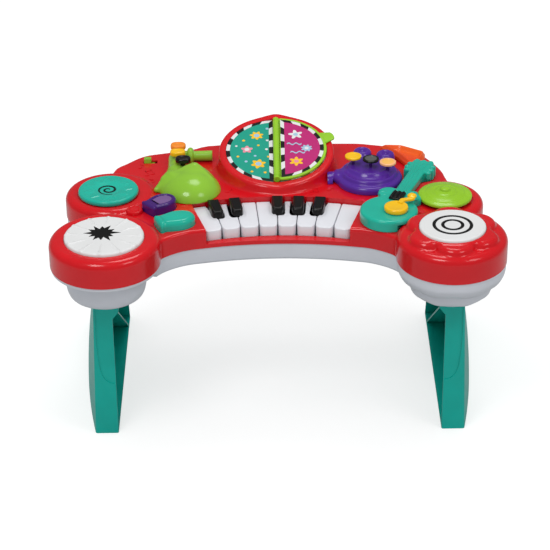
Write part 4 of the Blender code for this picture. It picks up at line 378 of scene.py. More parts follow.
def mesh_of(name, skins, sharp):
    """One mesh of several closed skins, its smooth shading broken where faces meet at over sharp degrees."""
    start, all_points, corners, sizes, slots = 0, [], [], [], []
    for points, groups in skins:
        all_points.append(points)
        for faces, slot in groups:
            corners.append((faces + start).ravel())
            sizes.append(np.full(len(faces), faces.shape[1]))
            slots.append(np.full(len(faces), slot))
        start += len(points)
    corners, sizes, slots = (np.concatenate(a).astype(np.int32) for a in (corners, sizes, slots))
    mesh = bpy.data.meshes.new(name)
    mesh.vertices.add(start)
    mesh.vertices.foreach_set("co", in_world(np.vstack(all_points)).astype(np.float32).ravel())
    mesh.loops.add(len(corners))
    mesh.loops.foreach_set("vertex_index", corners)
    mesh.polygons.add(len(sizes))
    mesh.polygons.foreach_set("loop_start", np.concatenate([[0], np.cumsum(sizes)[:-1]]).astype(np.int32))
    mesh.polygons.foreach_set("material_index", slots)
    mesh.update(calc_edges=True)
    mesh.validate()
    triangles = bmesh.new()
    triangles.from_mesh(mesh)
    wide = [face for face in triangles.faces if len(face.verts) > 4]
    bmesh.ops.triangulate(triangles, faces=wide, ngon_method="EAR_CLIP")
    triangles.to_mesh(mesh)
    triangles.free()
    mesh.shade_smooth()
    mesh.set_sharp_from_angle(angle=math.radians(sharp))
    return mesh


def placed(name, skins, materials, sharp):
    """An object of several closed skins, linked to the scene and given its materials."""
    obj = bpy.data.objects.new(name, mesh_of(name, skins, sharp))
    bpy.context.scene.collection.objects.link(obj)
    for material in materials:
        obj.data.materials.append(material)
    return obj


def piece(name, skins, materials, body, stands_for=(), shaping=(), sharp=32):
    """Puts skins into one object that rides on a body, after the cuts and joins of shaping, in order."""
    skins = skins if isinstance(skins, list) else [skins]
    materials = materials if isinstance(materials, (list, tuple)) else [materials]
    obj = placed(name, skins, materials, sharp)
    tools = []
    for number, (operation, skin) in enumerate(shaping):
        helper = placed(f"{name}_tool_{number}", [skin], materials, 30)
        modifier = obj.modifiers.new(f"shape_{number}", "BOOLEAN")
        modifier.operation = {"join": "UNION", "cut": "DIFFERENCE", "keep": "INTERSECT"}[operation]
        modifier.object, modifier.solver = helper, "MANIFOLD"
        tools.append(helper)
    if tools:
        shaped = bpy.data.meshes.new_from_object(obj.evaluated_get(bpy.context.evaluated_depsgraph_get()))
        obj.modifiers.clear()
        obj.data = shaped
        shaped.name = name
        for helper in tools:
            bpy.data.objects.remove(helper)
        if not len(shaped.polygons):
            raise RuntimeError(f"{name}: cutting left nothing")
        shaped.shade_smooth()
        shaped.set_sharp_from_angle(angle=math.radians(sharp))
    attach(obj, body)
    if stands_for:
        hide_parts(*stands_for)
    return obj


class Wire:
    """A socket in a material's tree. Sums and products of it add Math nodes; node() adds any other."""

    def __init__(self, tree, socket=None):
        self.tree, self.socket = tree, socket

    def node(self, kind, inputs=(), out=0, stops=(), **settings):
        """Adds a node: its settings and ramp stops first, then its sockets' values or links."""
        made = self.tree.nodes.new("ShaderNode" + kind)
        for key, value in settings.items():
            setattr(made, key, value)
        for number, (place, colour) in enumerate(stops):
            ramp = made.color_ramp.elements
            stop = ramp[number] if number < len(ramp) else ramp.new(place)
            stop.position, stop.color = place, (*colour[:3], 1)
        self.feed(made, inputs)
        return Wire(self.tree, made.outputs[out])

    def feed(self, node, inputs):
        """Gives a node's inputs their values or links."""
        for key, value in dict(inputs).items():
            if isinstance(value, Wire):
                self.tree.links.new(node.inputs[key], value.socket)
            else:
                node.inputs[key].default_value = value

    def maths(self, operation, *values):
        return self.node("Math", dict(enumerate(values)), operation=operation)

    def __add__(self, other):
        return self.maths("ADD", self, other)

    __radd__ = __add__

    def __sub__(self, other):
        return self.maths("SUBTRACT", self, other)

    def __rsub__(self, other):
        return self.maths("SUBTRACT", other, self)

    def __mul__(self, other):
        return self.maths("MULTIPLY", self, other)

    __rmul__ = __mul__

    def __truediv__(self, other):
        return self.maths("DIVIDE", self, other)

    def __rtruediv__(self, other):
        return self.maths("DIVIDE", other, self)

    def mixed(self, low, high):
        """The colour low where this is 0 and high where it is 1."""
        return self.node("Mix", {0: self, 6: low, 7: high}, out=2, data_type="RGBA")

    def between(self, low, high):
        """0 below low and 1 above high, eased between."""
        return self.node("MapRange", {0: self, 1: low, 2: high}, interpolation_type="SMOOTHSTEP")


def shade(colour, factor):
    """A colour made lighter or darker, with its alpha."""
    return (*[min(1.0, c * factor) for c in colour[:3]], 1.0)


def new_material(name):
    """A material, the Wire of its tree and its surface node."""
    material = bpy.data.materials.new(name)
    material.use_nodes = True
    return material, Wire(material.node_tree), material.node_tree.nodes["Principled BSDF"]


def plastic(name, colour, rough=0.28, coat=0.35, mottle=0.05, peel=0.10, peel_size=1.5, scuffs=0.015,
            fade=None):
    """Moulded plastic: its colour drifts over some 40 mm, its skin has a fine orange peel, and faint
    rubbed patches are duller. A fade is a second colour, a direction, and where along it the first
    colour ends and the second begins, in plan millimetres."""
    material, wire, surface = new_material(name)
    material.diffuse_color = shade(colour, 1)
    place = wire.node("TexCoord", out="Object")
    drift = wire.node("TexNoise", {"Vector": place, "Scale": 24.0, "Detail": 2.0})
    grain = wire.node("TexNoise", {"Vector": place, "Scale": 1000 / peel_size, "Detail": 2.0})
    rubbed = wire.node("TexNoise", {"Vector": place, "Scale": 160.0, "Detail": 5.0, "Roughness": 0.7})
    rubbed = rubbed.between(0.56, 0.72)
    base = drift.between(0.3, 0.7).mixed(shade(colour, 1 - mottle), shade(colour, 1 + mottle))
    if fade:
        other, direction, start, end = fade
        along = wire.node("VectorMath", {0: place, 1: direction}, out="Value", operation="DOT_PRODUCT")
        base = (along + drift * 0.006).between(start * MM, end * MM).mixed(base, shade(other, 1))
    base = (rubbed * scuffs * 2).mixed(base, shade(colour, 1.25))
    roughness = rough + (grain - 0.5) * 0.08 + rubbed * scuffs * 2
    bump = wire.node("Bump", {"Strength": peel, "Distance": 0.0004, "Height": grain})
    wire.feed(surface, {"Base Color": base, "Roughness": roughness, "Normal": bump, "Coat Weight": coat,
                        "Coat Roughness": 0.08, "Specular IOR Level": 0.3, "IOR": 1.47})
    return material


def material_named(name, make, *values, **options):
    """A finish by its name, made the first time that a piece asks for it."""
    return bpy.data.materials.get(name) or make(name, *values, **options)


PRINTED = dict(rough=0.38, coat=0.25, mottle=0.02, peel=0.06, peel_size=2.5, scuffs=0.03)
KEY_RIM, KEY_FACE = dict(rough=0.24, coat=0.45, mottle=0.02), dict(rough=0.3, coat=0.35, mottle=0.05)
SAX_KEY = dict(rough=0.24, coat=0.45, mottle=0.03)
FINISHES = {
    "red plastic": ("casing", "red", dict(rough=0.24, coat=0.5, mottle=0.04)),
    "grey plastic": ("casing", "grey", dict(rough=0.36, coat=0.15, mottle=0.02)),
    "leg plastic": ("legs", "teal", dict(rough=0.34, coat=0.25, mottle=0.05, peel=0.18)),
    "key white": ("keys", "white", dict(rough=0.22, coat=0.4, mottle=0.01, peel=0.04)),
    "key black": ("keys", "black", dict(rough=0.3, coat=0.25, mottle=0.0, scuffs=0.01)),
    "pad white": ("pads", "white", dict(rough=0.32, coat=0.2, mottle=0.015, peel=0.2)),
    "black print": ("pads", "ink", dict(rough=0.42, coat=0.1, mottle=0.0, peel=0.05)),
    "disc teal": ("pads", "teal", dict(rough=0.26, coat=0.4)),
    "cymbal lime": ("pads", "lime", dict(rough=0.26, coat=0.4)),
    "maraca plum": ("instruments", "plum", dict(rough=0.22, coat=0.5)),
    "maraca pale": ("instruments", "plum_pale", dict(rough=0.3, coat=0.3)),
    "guitar teal": ("instruments", "teal", dict(rough=0.24, coat=0.45)),
    "bridge black": ("instruments", "black", dict(rough=0.3, coat=0.4, mottle=0.0)),
    "strummer yellow": ("instruments", "yellow", dict(rough=0.22, coat=0.5, mottle=0.03)),
    "sax lime": ("instruments", "lime", dict(rough=0.22, coat=0.5, mottle=0.04)),
    "sax key orange": ("instruments", "orange", SAX_KEY),
    "sax key yellow": ("instruments", "yellow", SAX_KEY),
    "sax key black": ("instruments", "black", SAX_KEY),
    "horn purple": ("instruments", "purple", dict(rough=0.24, coat=0.4, mottle=0.04)),
    "horn key yellow rim": ("instruments", "yellow", KEY_RIM),
    "horn key yellow face": ("instruments", "yellow", KEY_FACE),
    "horn key black rim": ("instruments", "black", KEY_RIM),
    "horn key black face": ("instruments", "cap_grey", KEY_FACE),
    "horn key peach rim": ("instruments", "peach_rim", KEY_RIM),
    "horn key peach face": ("instruments", "peach", KEY_FACE),
    "page teal": ("book", "teal", PRINTED),
    "page magenta": ("book", "magenta", PRINTED),
    "page lime": ("book", "lime", dict(rough=0.26, coat=0.4)),
    "print black": ("pads", "ink", PRINTED),
    "print white": ("pads", "white", PRINTED),
    "print yellow": ("instruments", "yellow", PRINTED),
    "print blue": (None, (0.36, 0.56, 0.72), PRINTED),
    "print rose": (None, (0.80, 0.28, 0.36), PRINTED),
    "dull rubber": ("inner", "rubber", dict(rough=0.7, coat=0.0, mottle=0.08, peel=0.3, peel_size=0.8)),
}


def finish(name):
    """A plastic finish from the table above, in its own colour or the one that a setting holds."""
    settings, colour, options = FINISHES[name]
    if settings:
        colour = getattr(getattr(bpy.context.scene, f"table_{settings}"), colour)
    return material_named(name, plastic, colour, **options)


def drum(radius, low, high, x, y, sides=96, edge=0.0, low_edge=0.0):
    """An upright round block whose top and bottom edges may be rounded."""
    profile = [(0, high), (radius, high), (radius, low), (0, low)]
    return turned(profile_rounded(profile, (0, edge, low_edge, 0), 5), sides, x, y)


def bar(x0, x1, y0, y1, low, high):
    """A block between two corners."""
    return raised(np.array([(x0, y0), (x1, y0), (x1, y1), (x0, y1)]), low, high)


def rounded_box(x0, x1, y0, y1, width, steps=4):
    """A rectangle's outline with its four corners rounded alike."""
    return corners_rounded([(x0, y0), (x1, y0), (x1, y1), (x0, y1)], width, steps)


def colour_value(name, description, default):
    """A linear colour that a user may change, given here as the eight-bit numbers of a swatch."""
    linear = [c / 255 / 12.92 if c <= 10 else ((c / 255 + 0.055) / 1.055) ** 2.4 for c in default]
    return FloatVectorProperty(name=name, description=description, default=linear, subtype="COLOR",
                               size=3, min=0.0, max=1.0)


def amount_value(name, description, default, **limits):
    """A plain number from nought up that a user may change."""
    return FloatProperty(name=name, description=description, default=default, min=0.0, **limits)


def length_value(name, description, default):
    """A length in metres that a user may change, given here in millimetres."""
    return FloatProperty(name=name, description=description, default=default * MM, min=0.0,
                         subtype="DISTANCE", unit="LENGTH")


class CasingLook(bpy.types.PropertyGroup):
    red: colour_value("Shell", "Colour of the top shell", (214, 14, 26))
    grey: colour_value("Tray", "Colour of the tray under the seam", (212, 216, 224))
    step: length_value("Mesh step", "Spacing of the points on the top shell", 1.6)
    blend: length_value("Crease fill", "How softly the round lobes run into the deck", 3)
    flare: length_value("Ring flare", "How far the book's ring spreads at its foot", 4)


class LegLook(bpy.types.PropertyGroup):
    teal: colour_value("Leg", "Colour of the legs", (0, 172, 158))
    edge: length_value("Edge", "Radius of the upright edges at the front", 2)


class BookLook(bpy.types.PropertyGroup):
    teal: colour_value("Fixed pages", "Ground colour of the printed pages", (0, 158, 134))
    magenta: colour_value("Turning page", "Ground colour of the page that turns", (188, 22, 112))
    lime: colour_value("Spine", "Colour of the spine and of the page's frame", (150, 205, 45))
    border: length_value("Border", "Width of the striped border", 4.6)
    dash: length_value("Stripe", "Length of each stripe of the border", 13.6)
    ink: length_value("Print", "How far the print stands over the card", 0.12)


class KeyLook(bpy.types.PropertyGroup):
    white: colour_value("White keys", "Colour of the white keys", (228, 229, 235))
    black: colour_value("Black keys", "Colour of the black keys", (12, 12, 13))
    edge: length_value("Edge", "Radius of the white keys' top edge", 1.2)


class PadLook(bpy.types.PropertyGroup):
    white: colour_value("Pads", "Colour of the drum pads", (226, 227, 227))
    ink: colour_value("Print", "Colour of the burst and the rings", (10, 10, 10))
    teal: colour_value("Disc", "Colour of the turning disc", (30, 182, 160))
    lime: colour_value("Cymbal", "Colour of the cymbal", (150, 204, 40))
    ridge: length_value("Ridge", "Height of the ridges on the left pad", 0.7)
    ridges: IntProperty(name="Ridges", description="How many ridges run out to the left pad's rim",
                        default=12, min=0, max=40)


class InstrumentLook(bpy.types.PropertyGroup):
    lime: colour_value("Saxophone", "Colour of the saxophone", (142, 196, 56))
    purple: colour_value("Horn", "Colour of the horn", (84, 40, 152))
    bell: colour_value("Bell", "Colour of the horn's bell", (238, 78, 30))
    teal: colour_value("Guitar", "Colour of the guitar and the near maraca", (28, 180, 156))
    plum: colour_value("Maraca", "Colour of the far maraca", (66, 26, 112))
    plum_pale: colour_value("Maraca inlay", "Colour of the far maraca's sunken top", (122, 90, 145))
    yellow: colour_value("Yellow", "Colour of the yellow keys and the strummer", (250, 196, 20))
    orange: colour_value("Orange", "Colour of the orange key", (248, 146, 44))
    peach: colour_value("Peach", "Colour of the peach key", (252, 190, 96))
    black: colour_value("Black", "Colour of the black keys and the bridge", (16, 16, 17))
    bell_edge: colour_value("Bell edge", "Colour that the horn's bell fades to", (250, 120, 34))
    cap_grey: colour_value("Black key's face", "Colour of the horn's black key inside its rim", (92, 92, 92))
    peach_rim: colour_value("Peach rim", "Colour of the peach key's rim", (254, 186, 132))
    step: length_value("Mesh step", "Spacing of the points on the instruments", 0.9)


class InnerLook(bpy.types.PropertyGroup):
    steel: colour_value("Screws", "Colour of the screws and the retainer", (190, 192, 196))
    board: colour_value("Boards", "Ground colour of the circuit boards", (14, 92, 46))
    track: colour_value("Tracks", "Colour of the tracks on the boards", (120, 170, 90))
    rubber: colour_value("Rubber", "Colour of the rubber strip and the speaker's cone", (40, 40, 42))
    sleeve: colour_value("Battery", "Colour of the batteries' sleeves", (60, 62, 66))
    cap: colour_value("Battery end", "Colour of the batteries' far ends", (196, 142, 60))


class StageLook(bpy.types.PropertyGroup):
    ground: amount_value("Ground", "How pale the floor and the backdrop are", 0.97, max=1.0,
                         subtype="FACTOR")
    floor: amount_value("Floor", "How much light the floor throws back", 0.5, max=1.0, subtype="FACTOR")
    lift: amount_value("Floor lift", "How much brighter the floor looks than it is lit", 0.62)
    sky: amount_value("Sky", "Strength of the even light from all sides", 0.68)
    mirrored: amount_value("Mirrored sky", "Strength of the sky where gloss mirrors it", 0.15)
    key: amount_value("Lamps", "Strength of the large soft lamps", 1.15)


def place_camera():
    """The camera of the view from in front and above: its three directions from its slope, its turn and
    its roll, and its place from the point that shows the middle of the legs' front foot line."""
    slope, turn, roll = math.radians(29.8), math.radians(0.3), math.radians(-0.6)
    focal, size, distance = 2060.0, 550.0, 2484.0
    ahead = np.array([math.sin(turn) * math.cos(slope), math.cos(turn) * math.cos(slope), -math.sin(slope)])
    level = np.array([math.cos(turn), -math.sin(turn), 0.0])
    over = np.cross(level, ahead)
    right = math.cos(roll) * level + math.sin(roll) * over
    up = -math.sin(roll) * level + math.cos(roll) * over
    shown_x, shown_y = (280.2 - size / 2) / focal, (430.8 - size / 2) / focal
    foot = np.array([0.0, -120.0, 0.0])
    place = foot - distance * (ahead + right * shown_x - up * shown_y)
    lens = bpy.data.cameras.new("camera")
    lens.sensor_width, lens.lens = 36.0, focal * 36.0 / size
    lens.clip_start, lens.clip_end = 0.1, 30.0
    camera = bpy.data.objects.new("camera", lens)
    bpy.context.scene.collection.objects.link(camera)
    x, y, z = in_world(place)
    back = -ahead
    camera.matrix_world = Matrix(((right[0], up[0], back[0], x), (right[1], up[1], back[1], y),
                                  (right[2], up[2], back[2], z), (0, 0, 0, 1)))
    bpy.context.scene.camera = camera


class TABLE_OT_stage(bpy.types.Operator):
    """Makes the pale floor, the even light, the soft lamps and the camera"""
    bl_idname = "activity_table.stage"
    bl_label = "Stage"

    def execute(self, context):
        look = context.scene.table_stage
        place_camera()
        turns = 2 * math.pi * np.arange(64) / 64
        radius = np.array([0.5, 2.0, 6.0])[:, None]
        ring = np.stack([radius * np.cos(turns), radius * np.sin(turns), 0 * radius + 0 * turns], -1)
        floor = bpy.data.meshes.new("floor")
        faces = [tuple(range(64))] + grid_faces(3, 64, True)[:, ::-1].tolist()
        floor.from_pydata(ring.reshape(-1, 3).tolist(), [], faces)
        floor_obj = bpy.data.objects.new("floor", floor)
        context.scene.collection.objects.link(floor_obj)
        material, wire, surface = new_material("pale floor")
        pale = (look.floor,) * 3
        tone = wire.node("TexNoise", {"Scale": 3.0}).mixed(shade(pale, 1.0), shade(pale, 0.99))
        camera_ray = wire.node("LightPath", out="Is Camera Ray")
        wire.feed(surface, {"Base Color": tone, "Emission Color": camera_ray * look.lift,
                            "Emission Strength": 1.0, "Roughness": 0.9, "Specular IOR Level": 0.0})
        floor.materials.append(material)

        world = bpy.data.worlds.new("soft light")
        context.scene.world = world
        world.use_nodes = True
        tree = world.node_tree
        wire = Wire(tree)
        path = wire.node("LightPath", out="Is Camera Ray")
        backdrop = wire.node("Background", {"Color": (look.ground,) * 3 + (1,), "Strength": 1.0})
        sky = wire.node("Background", {"Color": (1, 1, 1, 1), "Strength": look.sky})
        mirrored_sky = wire.node("Background", {"Color": (1, 1, 1, 1), "Strength": look.mirrored})
        glossy = wire.node("LightPath", out="Is Glossy Ray")
        unseen = wire.node("MixShader", {0: glossy, 1: sky, 2: mirrored_sky})
        both = wire.node("MixShader", {0: path, 1: unseen, 2: backdrop})
        tree.links.new(tree.nodes["World Output"].inputs["Surface"], both.socket)

        for name, energy, size, place in (("key", 13.0, 0.9, (-0.7, -1.2, 2.4)),
                                          ("fill", 5.0, 0.8, (1.3, -1.0, 1.9)),
                                          ("top", 7.0, 0.9, (0.2, 0.9, 2.3))):
            lamp = bpy.data.lights.new(name, "AREA")
            lamp.shape, lamp.size, lamp.energy = "DISK", size, energy * look.key
            obj = bpy.data.objects.new(name, lamp)
            context.scene.collection.objects.link(obj)
            obj.location = place
            obj.rotation_euler = (Vector((0, 0, 0.2)) - Vector(place)).to_track_quat("-Z", "Y").to_euler()
        context.scene.view_settings.view_transform = "Standard"
        return {"FINISHED"}


def ring_slope(y, z):
    """Height over the book's sloping plane, measured upright."""
    return z - (y - BOOK_Y) * math.tan(BOOK_TILT)


def shell_field(look):
    """The top shell: the arch and its four lobes melted together, the book's ring with its flared foot,
    its rear peak and front dip, and the right pad's bezel with six scallops."""
    outline = arch_outline()
    blend, flare = look.blend / MM, look.flare / MM

    def field(x, y, z):
        shell = block(outline_distance(x, y, outline), z, DECK, 4.0)
        for cx, cy, radius, top in LOBES:
            shell = melt(shell, block(circle(x, y, cx, cy, radius), z, top, 9.0), blend)
        foot = np.clip((DECK + 11 - z) / 12, 0, 1) * np.clip((BOOK_Y + 60 - y) / 40, 0, 1)
        around = np.hypot(x, y - BOOK_Y)
        front = np.clip((BOOK_Y - 40 - y) / 25, 0, 1)
        wave = -1.4 * np.exp(-(x / 9.0) ** 2) * front
        peak = 3.0 * np.exp(-(x / 14.0) ** 2) * np.clip((y - BOOK_Y - 40) / 20, 0, 1)
        ring = block(around - RING_RADIUS - flare * foot ** 2, ring_slope(y, z) - peak - wave, BOOK_Z, 3.0)
        shell = melt(shell, ring, 1.5)
        bezel = block(circle(x, y, *RIGHT_DRUM, 43.5), z, BEZEL_TOP, 3.0)
        bumps = 1e3
        for turn in (np.arange(6) + 0.5) * math.pi / 3:
            bump = block(circle(x, y, 200 + 34 * math.cos(turn), -108 + 34 * math.sin(turn), 22.5), z,
                         269.3, 7.5)
            bumps = melt(bumps, bump, 2.5)
        return np.maximum(melt(shell, melt(bezel, bumps, 2.0), 2.5), SEAM - 5 - z)
    return field


def maraca_outline(x, y, turn, length, width):
    """A maraca from above: a round head that narrows to a square handle, splined."""
    shares = np.array([(-0.50, -0.38), (-0.36, -0.38), (-0.16, -0.45), (0.08, -0.50), (0.30, -0.42),
                       (0.45, -0.24), (0.50, 0.0), (0.45, 0.24), (0.30, 0.42), (0.08, 0.50),
                       (-0.16, 0.45), (-0.36, 0.38), (-0.50, 0.38)])
    return turned_plan(shares * (length, width), x, y, turn)


PURPLE_MARACA = (-138.0, -23.0, math.radians(40), 39.0, 29.0)
TEAL_MARACA = (-119.0, -64.0, math.radians(22), 46.0, 32.0)
SAX_KEYS = ((-121.0, 106.0, 19.0, 15.0), (-121.0, 88.0, 19.0, 14.0), (-114.0, 69.0, 19.0, 15.0))
HORN_KEYS = ((93.0, 57.0), (114.0, 49.0), (134.0, 40.0))
SLIDER = (-159.0, 100.0, 9.0, 7.0)
STEMS = tuple((x, y) for x, y, _, _ in SAX_KEYS) + HORN_KEYS


class TABLE_OT_top_casing(bpy.types.Operator):
    """Makes the top shell with its lobes, ring, bezel and every opening"""
    bl_idname = "activity_table.top_casing"
    bl_label = "Top casing"

    def execute(self, context):
        look = context.scene.table_casing
        red = finish("red plastic")
        skin = moulded(shell_field(look), (-268.0, -176.0, 222.0), (268.0, 158.0, 296.0), look.step / MM)
        inner = grown(arch_outline(), -WALL)
        cuts = [bar(-300, 300, -200, 200, UNDER_TRAY, SEAM), raised(inner, UNDER_SHELL, DECK_UNDER)]
        for cx, cy, radius, top in LOBES:
            cuts.append(drum(radius - WALL, UNDER_SHELL, top - WALL, cx, cy, 64, 6.5))
        ring_hollow = drum(RING_RADIUS - WALL, UNDER_SHELL, 250, 0, BOOK_Y, 96)
        points, ring_top = ring_hollow[0].copy(), BOOK_Z - 5.8
        high = points[:, 2] > 240
        points[high, 2] = ring_top + (points[high, 1] - BOOK_Y) * math.tan(BOOK_TILT)
        cuts.append((points, ring_hollow[1]))
        half = KEY_COUNT / 2 * KEY_PITCH
        side = half + (KEY_GAP + WALL) / KEY_FRONT
        ends = fan(KEY_FRONT, np.array([-side, side]))
        reach = FRONT_ARC_RADIUS + WALL / 2
        spread = math.asin(ends[1, 0] / reach)
        near = arc(0, FRONT_ARC_Y - FRONT_ARC_RADIUS, reach, math.pi / 2 + spread, math.pi / 2 - spread, 24)
        far = fan(KEY_FRONT + WALL, np.linspace(side, -side, 25))
        joins = [raised(np.vstack([near, far]), SEAM + 0.01, LEDGE + OVERRUN)]
        lip = KEY_REAR + KEY_GAP
        joins.append(raised(fan_sector(lip, lip + 2.2, half, KEY_GAP), 244.8, DECK - 1.25))
        for hand in (-1, 1):
            corner = [fan(lip, hand * (half + KEY_GAP / 2 / KEY_REAR)),
                      fan(KEY_FRONT - WALL, hand * (half + KEY_GAP / 2 / KEY_FRONT)),
                      fan(KEY_FRONT - WALL, hand * side), fan(lip, hand * side)]
            joins.append(raised(np.array(corner), SEAM + 0.01, DECK - 1.25))
        holes = [raised(fan_sector(KEY_FRONT - KEY_GAP, lip, half, KEY_GAP), UNDER_SHELL, 270),
                 raised(fan_sector(KEY_FRONT - 30, KEY_FRONT + WALL, half, KEY_GAP), LEDGE, 270),
                 drum(LEFT_PAD + CLEARANCE, *THROUGH_DECK, *LEFT_DRUM, 128),
                 drum(RIGHT_PAD + CLEARANCE, THROUGH_DECK[0], 285, *RIGHT_DRUM, 128),
                 drum(4.5, *THROUGH_DECK, *DISC, 32), drum(4.5, *THROUGH_DECK, *CYMBAL, 32),
                 drum(33.4, 257.4, 275, *CYMBAL, 96), drum(37.2, 257.2, 275, *DISC, 96)]
        holes += [raised(grown(spline(maraca_outline(*maraca)), CLEARANCE), *THROUGH_DECK)
                  for maraca in (PURPLE_MARACA, TEAL_MARACA)]
        x, y, length, width = SLIDER
        holes.append(bar(x - length / 2 - CLEARANCE, x + length / 2 + 7.5, y - width / 2 - CLEARANCE,
                         y + width / 2 + CLEARANCE, *THROUGH_DECK))
        holes += [drum(STEM + CLEARANCE, *THROUGH_DECK, x, y, 32) for x, y in STEMS]
        holes.append(tilted(drum(BOOK_RADIUS + CLEARANCE, -CARD - GAP, 12, 0, 0, 160)))
        shaping = [("cut", c) for c in cuts] + [("join", j) for j in joins] + [("cut", h) for h in holes]
        piece("casing_top", skin, red, "table", ("top_casing",), shaping)
        return {"FINISHED"}


class TABLE_OT_bottom_casing(bpy.types.Operator):
    """Makes the grey tray: the band under the seam, both cups, the battery bay's opening and the grille"""
    bl_idname = "activity_table.bottom_casing"
    bl_label = "Bottom casing"

    def execute(self, context):
        outline = arch_outline()
        outline = grown(outline[outline[:, 1] > -112], -1)
        top = SEAM - GAP
        band = raised(outline, BAND_LOW, top, 0, 4)
        left = profile_rounded([(0, top), (63, top), (63, 225.5), (47.5, 224), (46.5, 200), (42, CUP_LOW),
                                (0, CUP_LOW)], (0, 0, 1.5, 2, 8, 6, 0), 5)
        right = profile_rounded([(0, top), (63, top), (63, 218), (59, 210), (54, 205.5), (49, 203.5),
                                 (47.5, 193), (44, CUP_LOW), (0, CUP_LOW)], (0, 0, 3, 3, 2.5, 2, 3, 3, 0), 4)

        def scalloped(r, t, h):
            return np.where((r > 44) & (h < 221) & (h > 190), 0.7 * np.cos(8 * t + 0.4), 0.0)
        joins = [turned(left, 128, *LEFT_DRUM), turned(right, 160, *RIGHT_DRUM, scalloped)]
        joins += [drum(radius - 1, BAND_LOW + 0.1, top - 0.05, cx, cy, 128, 0, 4)
                  for cx, cy, radius, _ in LOBES[2:]]
        joins.append(drum(RING_RADIUS - 1, BAND_LOW + 0.05, top - 0.1, 0, BOOK_Y, 128, 0, 4))
        floor = BAND_LOW + WALL
        cuts = [raised(grown(outline, -WALL), floor, OVER_TRAY)]
        cuts += [drum(radius - 1 - WALL, floor, OVER_TRAY, cx, cy, 64) for cx, cy, radius, _ in LOBES[2:]]
        cuts.append(drum(RING_RADIUS - 1 - WALL, floor, OVER_TRAY, 0, BOOK_Y, 96))
        hollow = [(0, OVER_TRAY), (60, OVER_TRAY), (60, 228), (44.5, 226), (43, 209), (40, CUP_LOW + WALL),
                  (0, CUP_LOW + WALL)]
        cuts += [turned(hollow, 64, *middle) for middle in (LEFT_DRUM, RIGHT_DRUM)]
        posts = [(a * HALF_WIDTH, b * HALF_DEPTH) for a, b in
                 ((-0.834, -0.253), (0.732, -0.48), (-0.732, 0.4), (0.81, 0.48), (-0.293, 0.787),
                  (0.293, 0.787))]
        later = [("join", drum(4.5, BAND_LOW + 1, top, x, y, 32)) for x, y in posts]
        for radius, low, high, sides in ((3.4, UNDER_TRAY, 224, 32), (1.8, 220, 240, 24)):
            bore = [(0, high), (radius, high), (radius, low), (0, low)]
            later += [("cut", turned(bore, sides, x, y)) for x, y in posts]
        later += [("cut", bar(*bay, UNDER_TRAY, floor + 0.1))
                  for bay in ((-27, 27, 33, 91), (-6, 6, 90, 100))]
        later += [("cut", raised(rounded_box(-115, -85, y - 1.25, y + 1.25, 1.2), UNDER_TRAY, 212))
                  for y in (33, 39, 45, 51, 57)]
        for hand in (-1, 1):
            x0, x1 = sorted((hand * (LEG_OUT + 185.7), hand * (LEG_OUT + 211.3)))
            later.append(("cut", bar(x0, x1, -118.3, -73.7, 180, 195)))
        shaping = [("join", j) for j in joins] + [("cut", c) for c in cuts] + later
        piece("casing_tray", band, finish("grey plastic"), "table", ("bottom_casing",),
              shaping)
        return {"FINISHED"}


LEG_OUT = 3.0
LEG_FRONT, LEG_BACK, LEG_TOP_BACK = -120.0, 154.0, 62.0
LEG_BULGE, LEG_BULGE_HEIGHT, LEG_BULGE_POWER = 22.0, 150.0, 2.5


def leg_skin(inset, open_side, columns=40, rows=40, edge=0.0):
    """A leg's board as a closed block, drawn in by inset; open_side pushes its inner face out. At height z
    its back lies at 154 - 92 z / 208, and over the share s of its depth its outer face stands at
    219 - 6 z / 208 + 22 (1 - (1 - s)^2.5) (1 - (z / 150)^2)."""
    z = np.linspace(inset, BAND_LOW - GAP - inset, rows)[:, None]
    front, back = LEG_FRONT + inset, LEG_BACK - (LEG_BACK - LEG_TOP_BACK) * z / BAND_LOW - inset
    y = front + (back - front) * (np.arange(columns) / (columns - 1))[None, :]
    share = np.clip((y - LEG_FRONT) / (LEG_BACK - LEG_FRONT), 0, 1)
    fade = np.clip(1 - (z / LEG_BULGE_HEIGHT) ** 2, 0, 1)
    swell = LEG_BULGE * (1 - (1 - share) ** LEG_BULGE_POWER) * fade
    outer = 219.0 - 6 * z / BAND_LOW + swell - inset
    inner = 191.5 - open_side + 0 * z
    outer_line = np.stack([outer, y], -1)
    inner_line = np.stack([np.broadcast_to(inner, (rows, 2)), np.hstack([back, front + 0 * z])], -1)
    loops = np.concatenate([outer_line, inner_line], 1)
    width = np.zeros(loops.shape[1])
    width[[0, columns - 1, -2, -1]] = edge
    rounded = np.array([corners_rounded(loop, width + 0.01, 3) for loop in loops])
    count = rounded.shape[1]
    points = np.concatenate([rounded, np.broadcast_to(z[:, :, None], (rows, count, 1))], -1)
    return closed_rows(points.reshape(-1, 3), rows)


def mirrored(skin, hand):
    """A skin, or its mirror image in the plane x = 0."""
    points, groups = skin
    return outward(points * (hand, 1, 1), groups)


def leg_side(skin, hand):
    """A leg's skin moved to where the leg stands on the left or on the right."""
    return mirrored((skin[0] + (LEG_OUT, 0, 0), skin[1]), hand)


def upright(outline, y0, y1):
    """A block over an outline of (x, z) points, between two y planes."""
    points, groups = raised(outline, y0, y1)
    return outward(points[:, [0, 2, 1]], groups)


def sideways(outline, x0, x1):
    """A block over an outline of (y, z) points, between two x planes."""
    points, groups = raised(outline, x0, x1)
    return outward(points[:, [2, 0, 1]], groups)


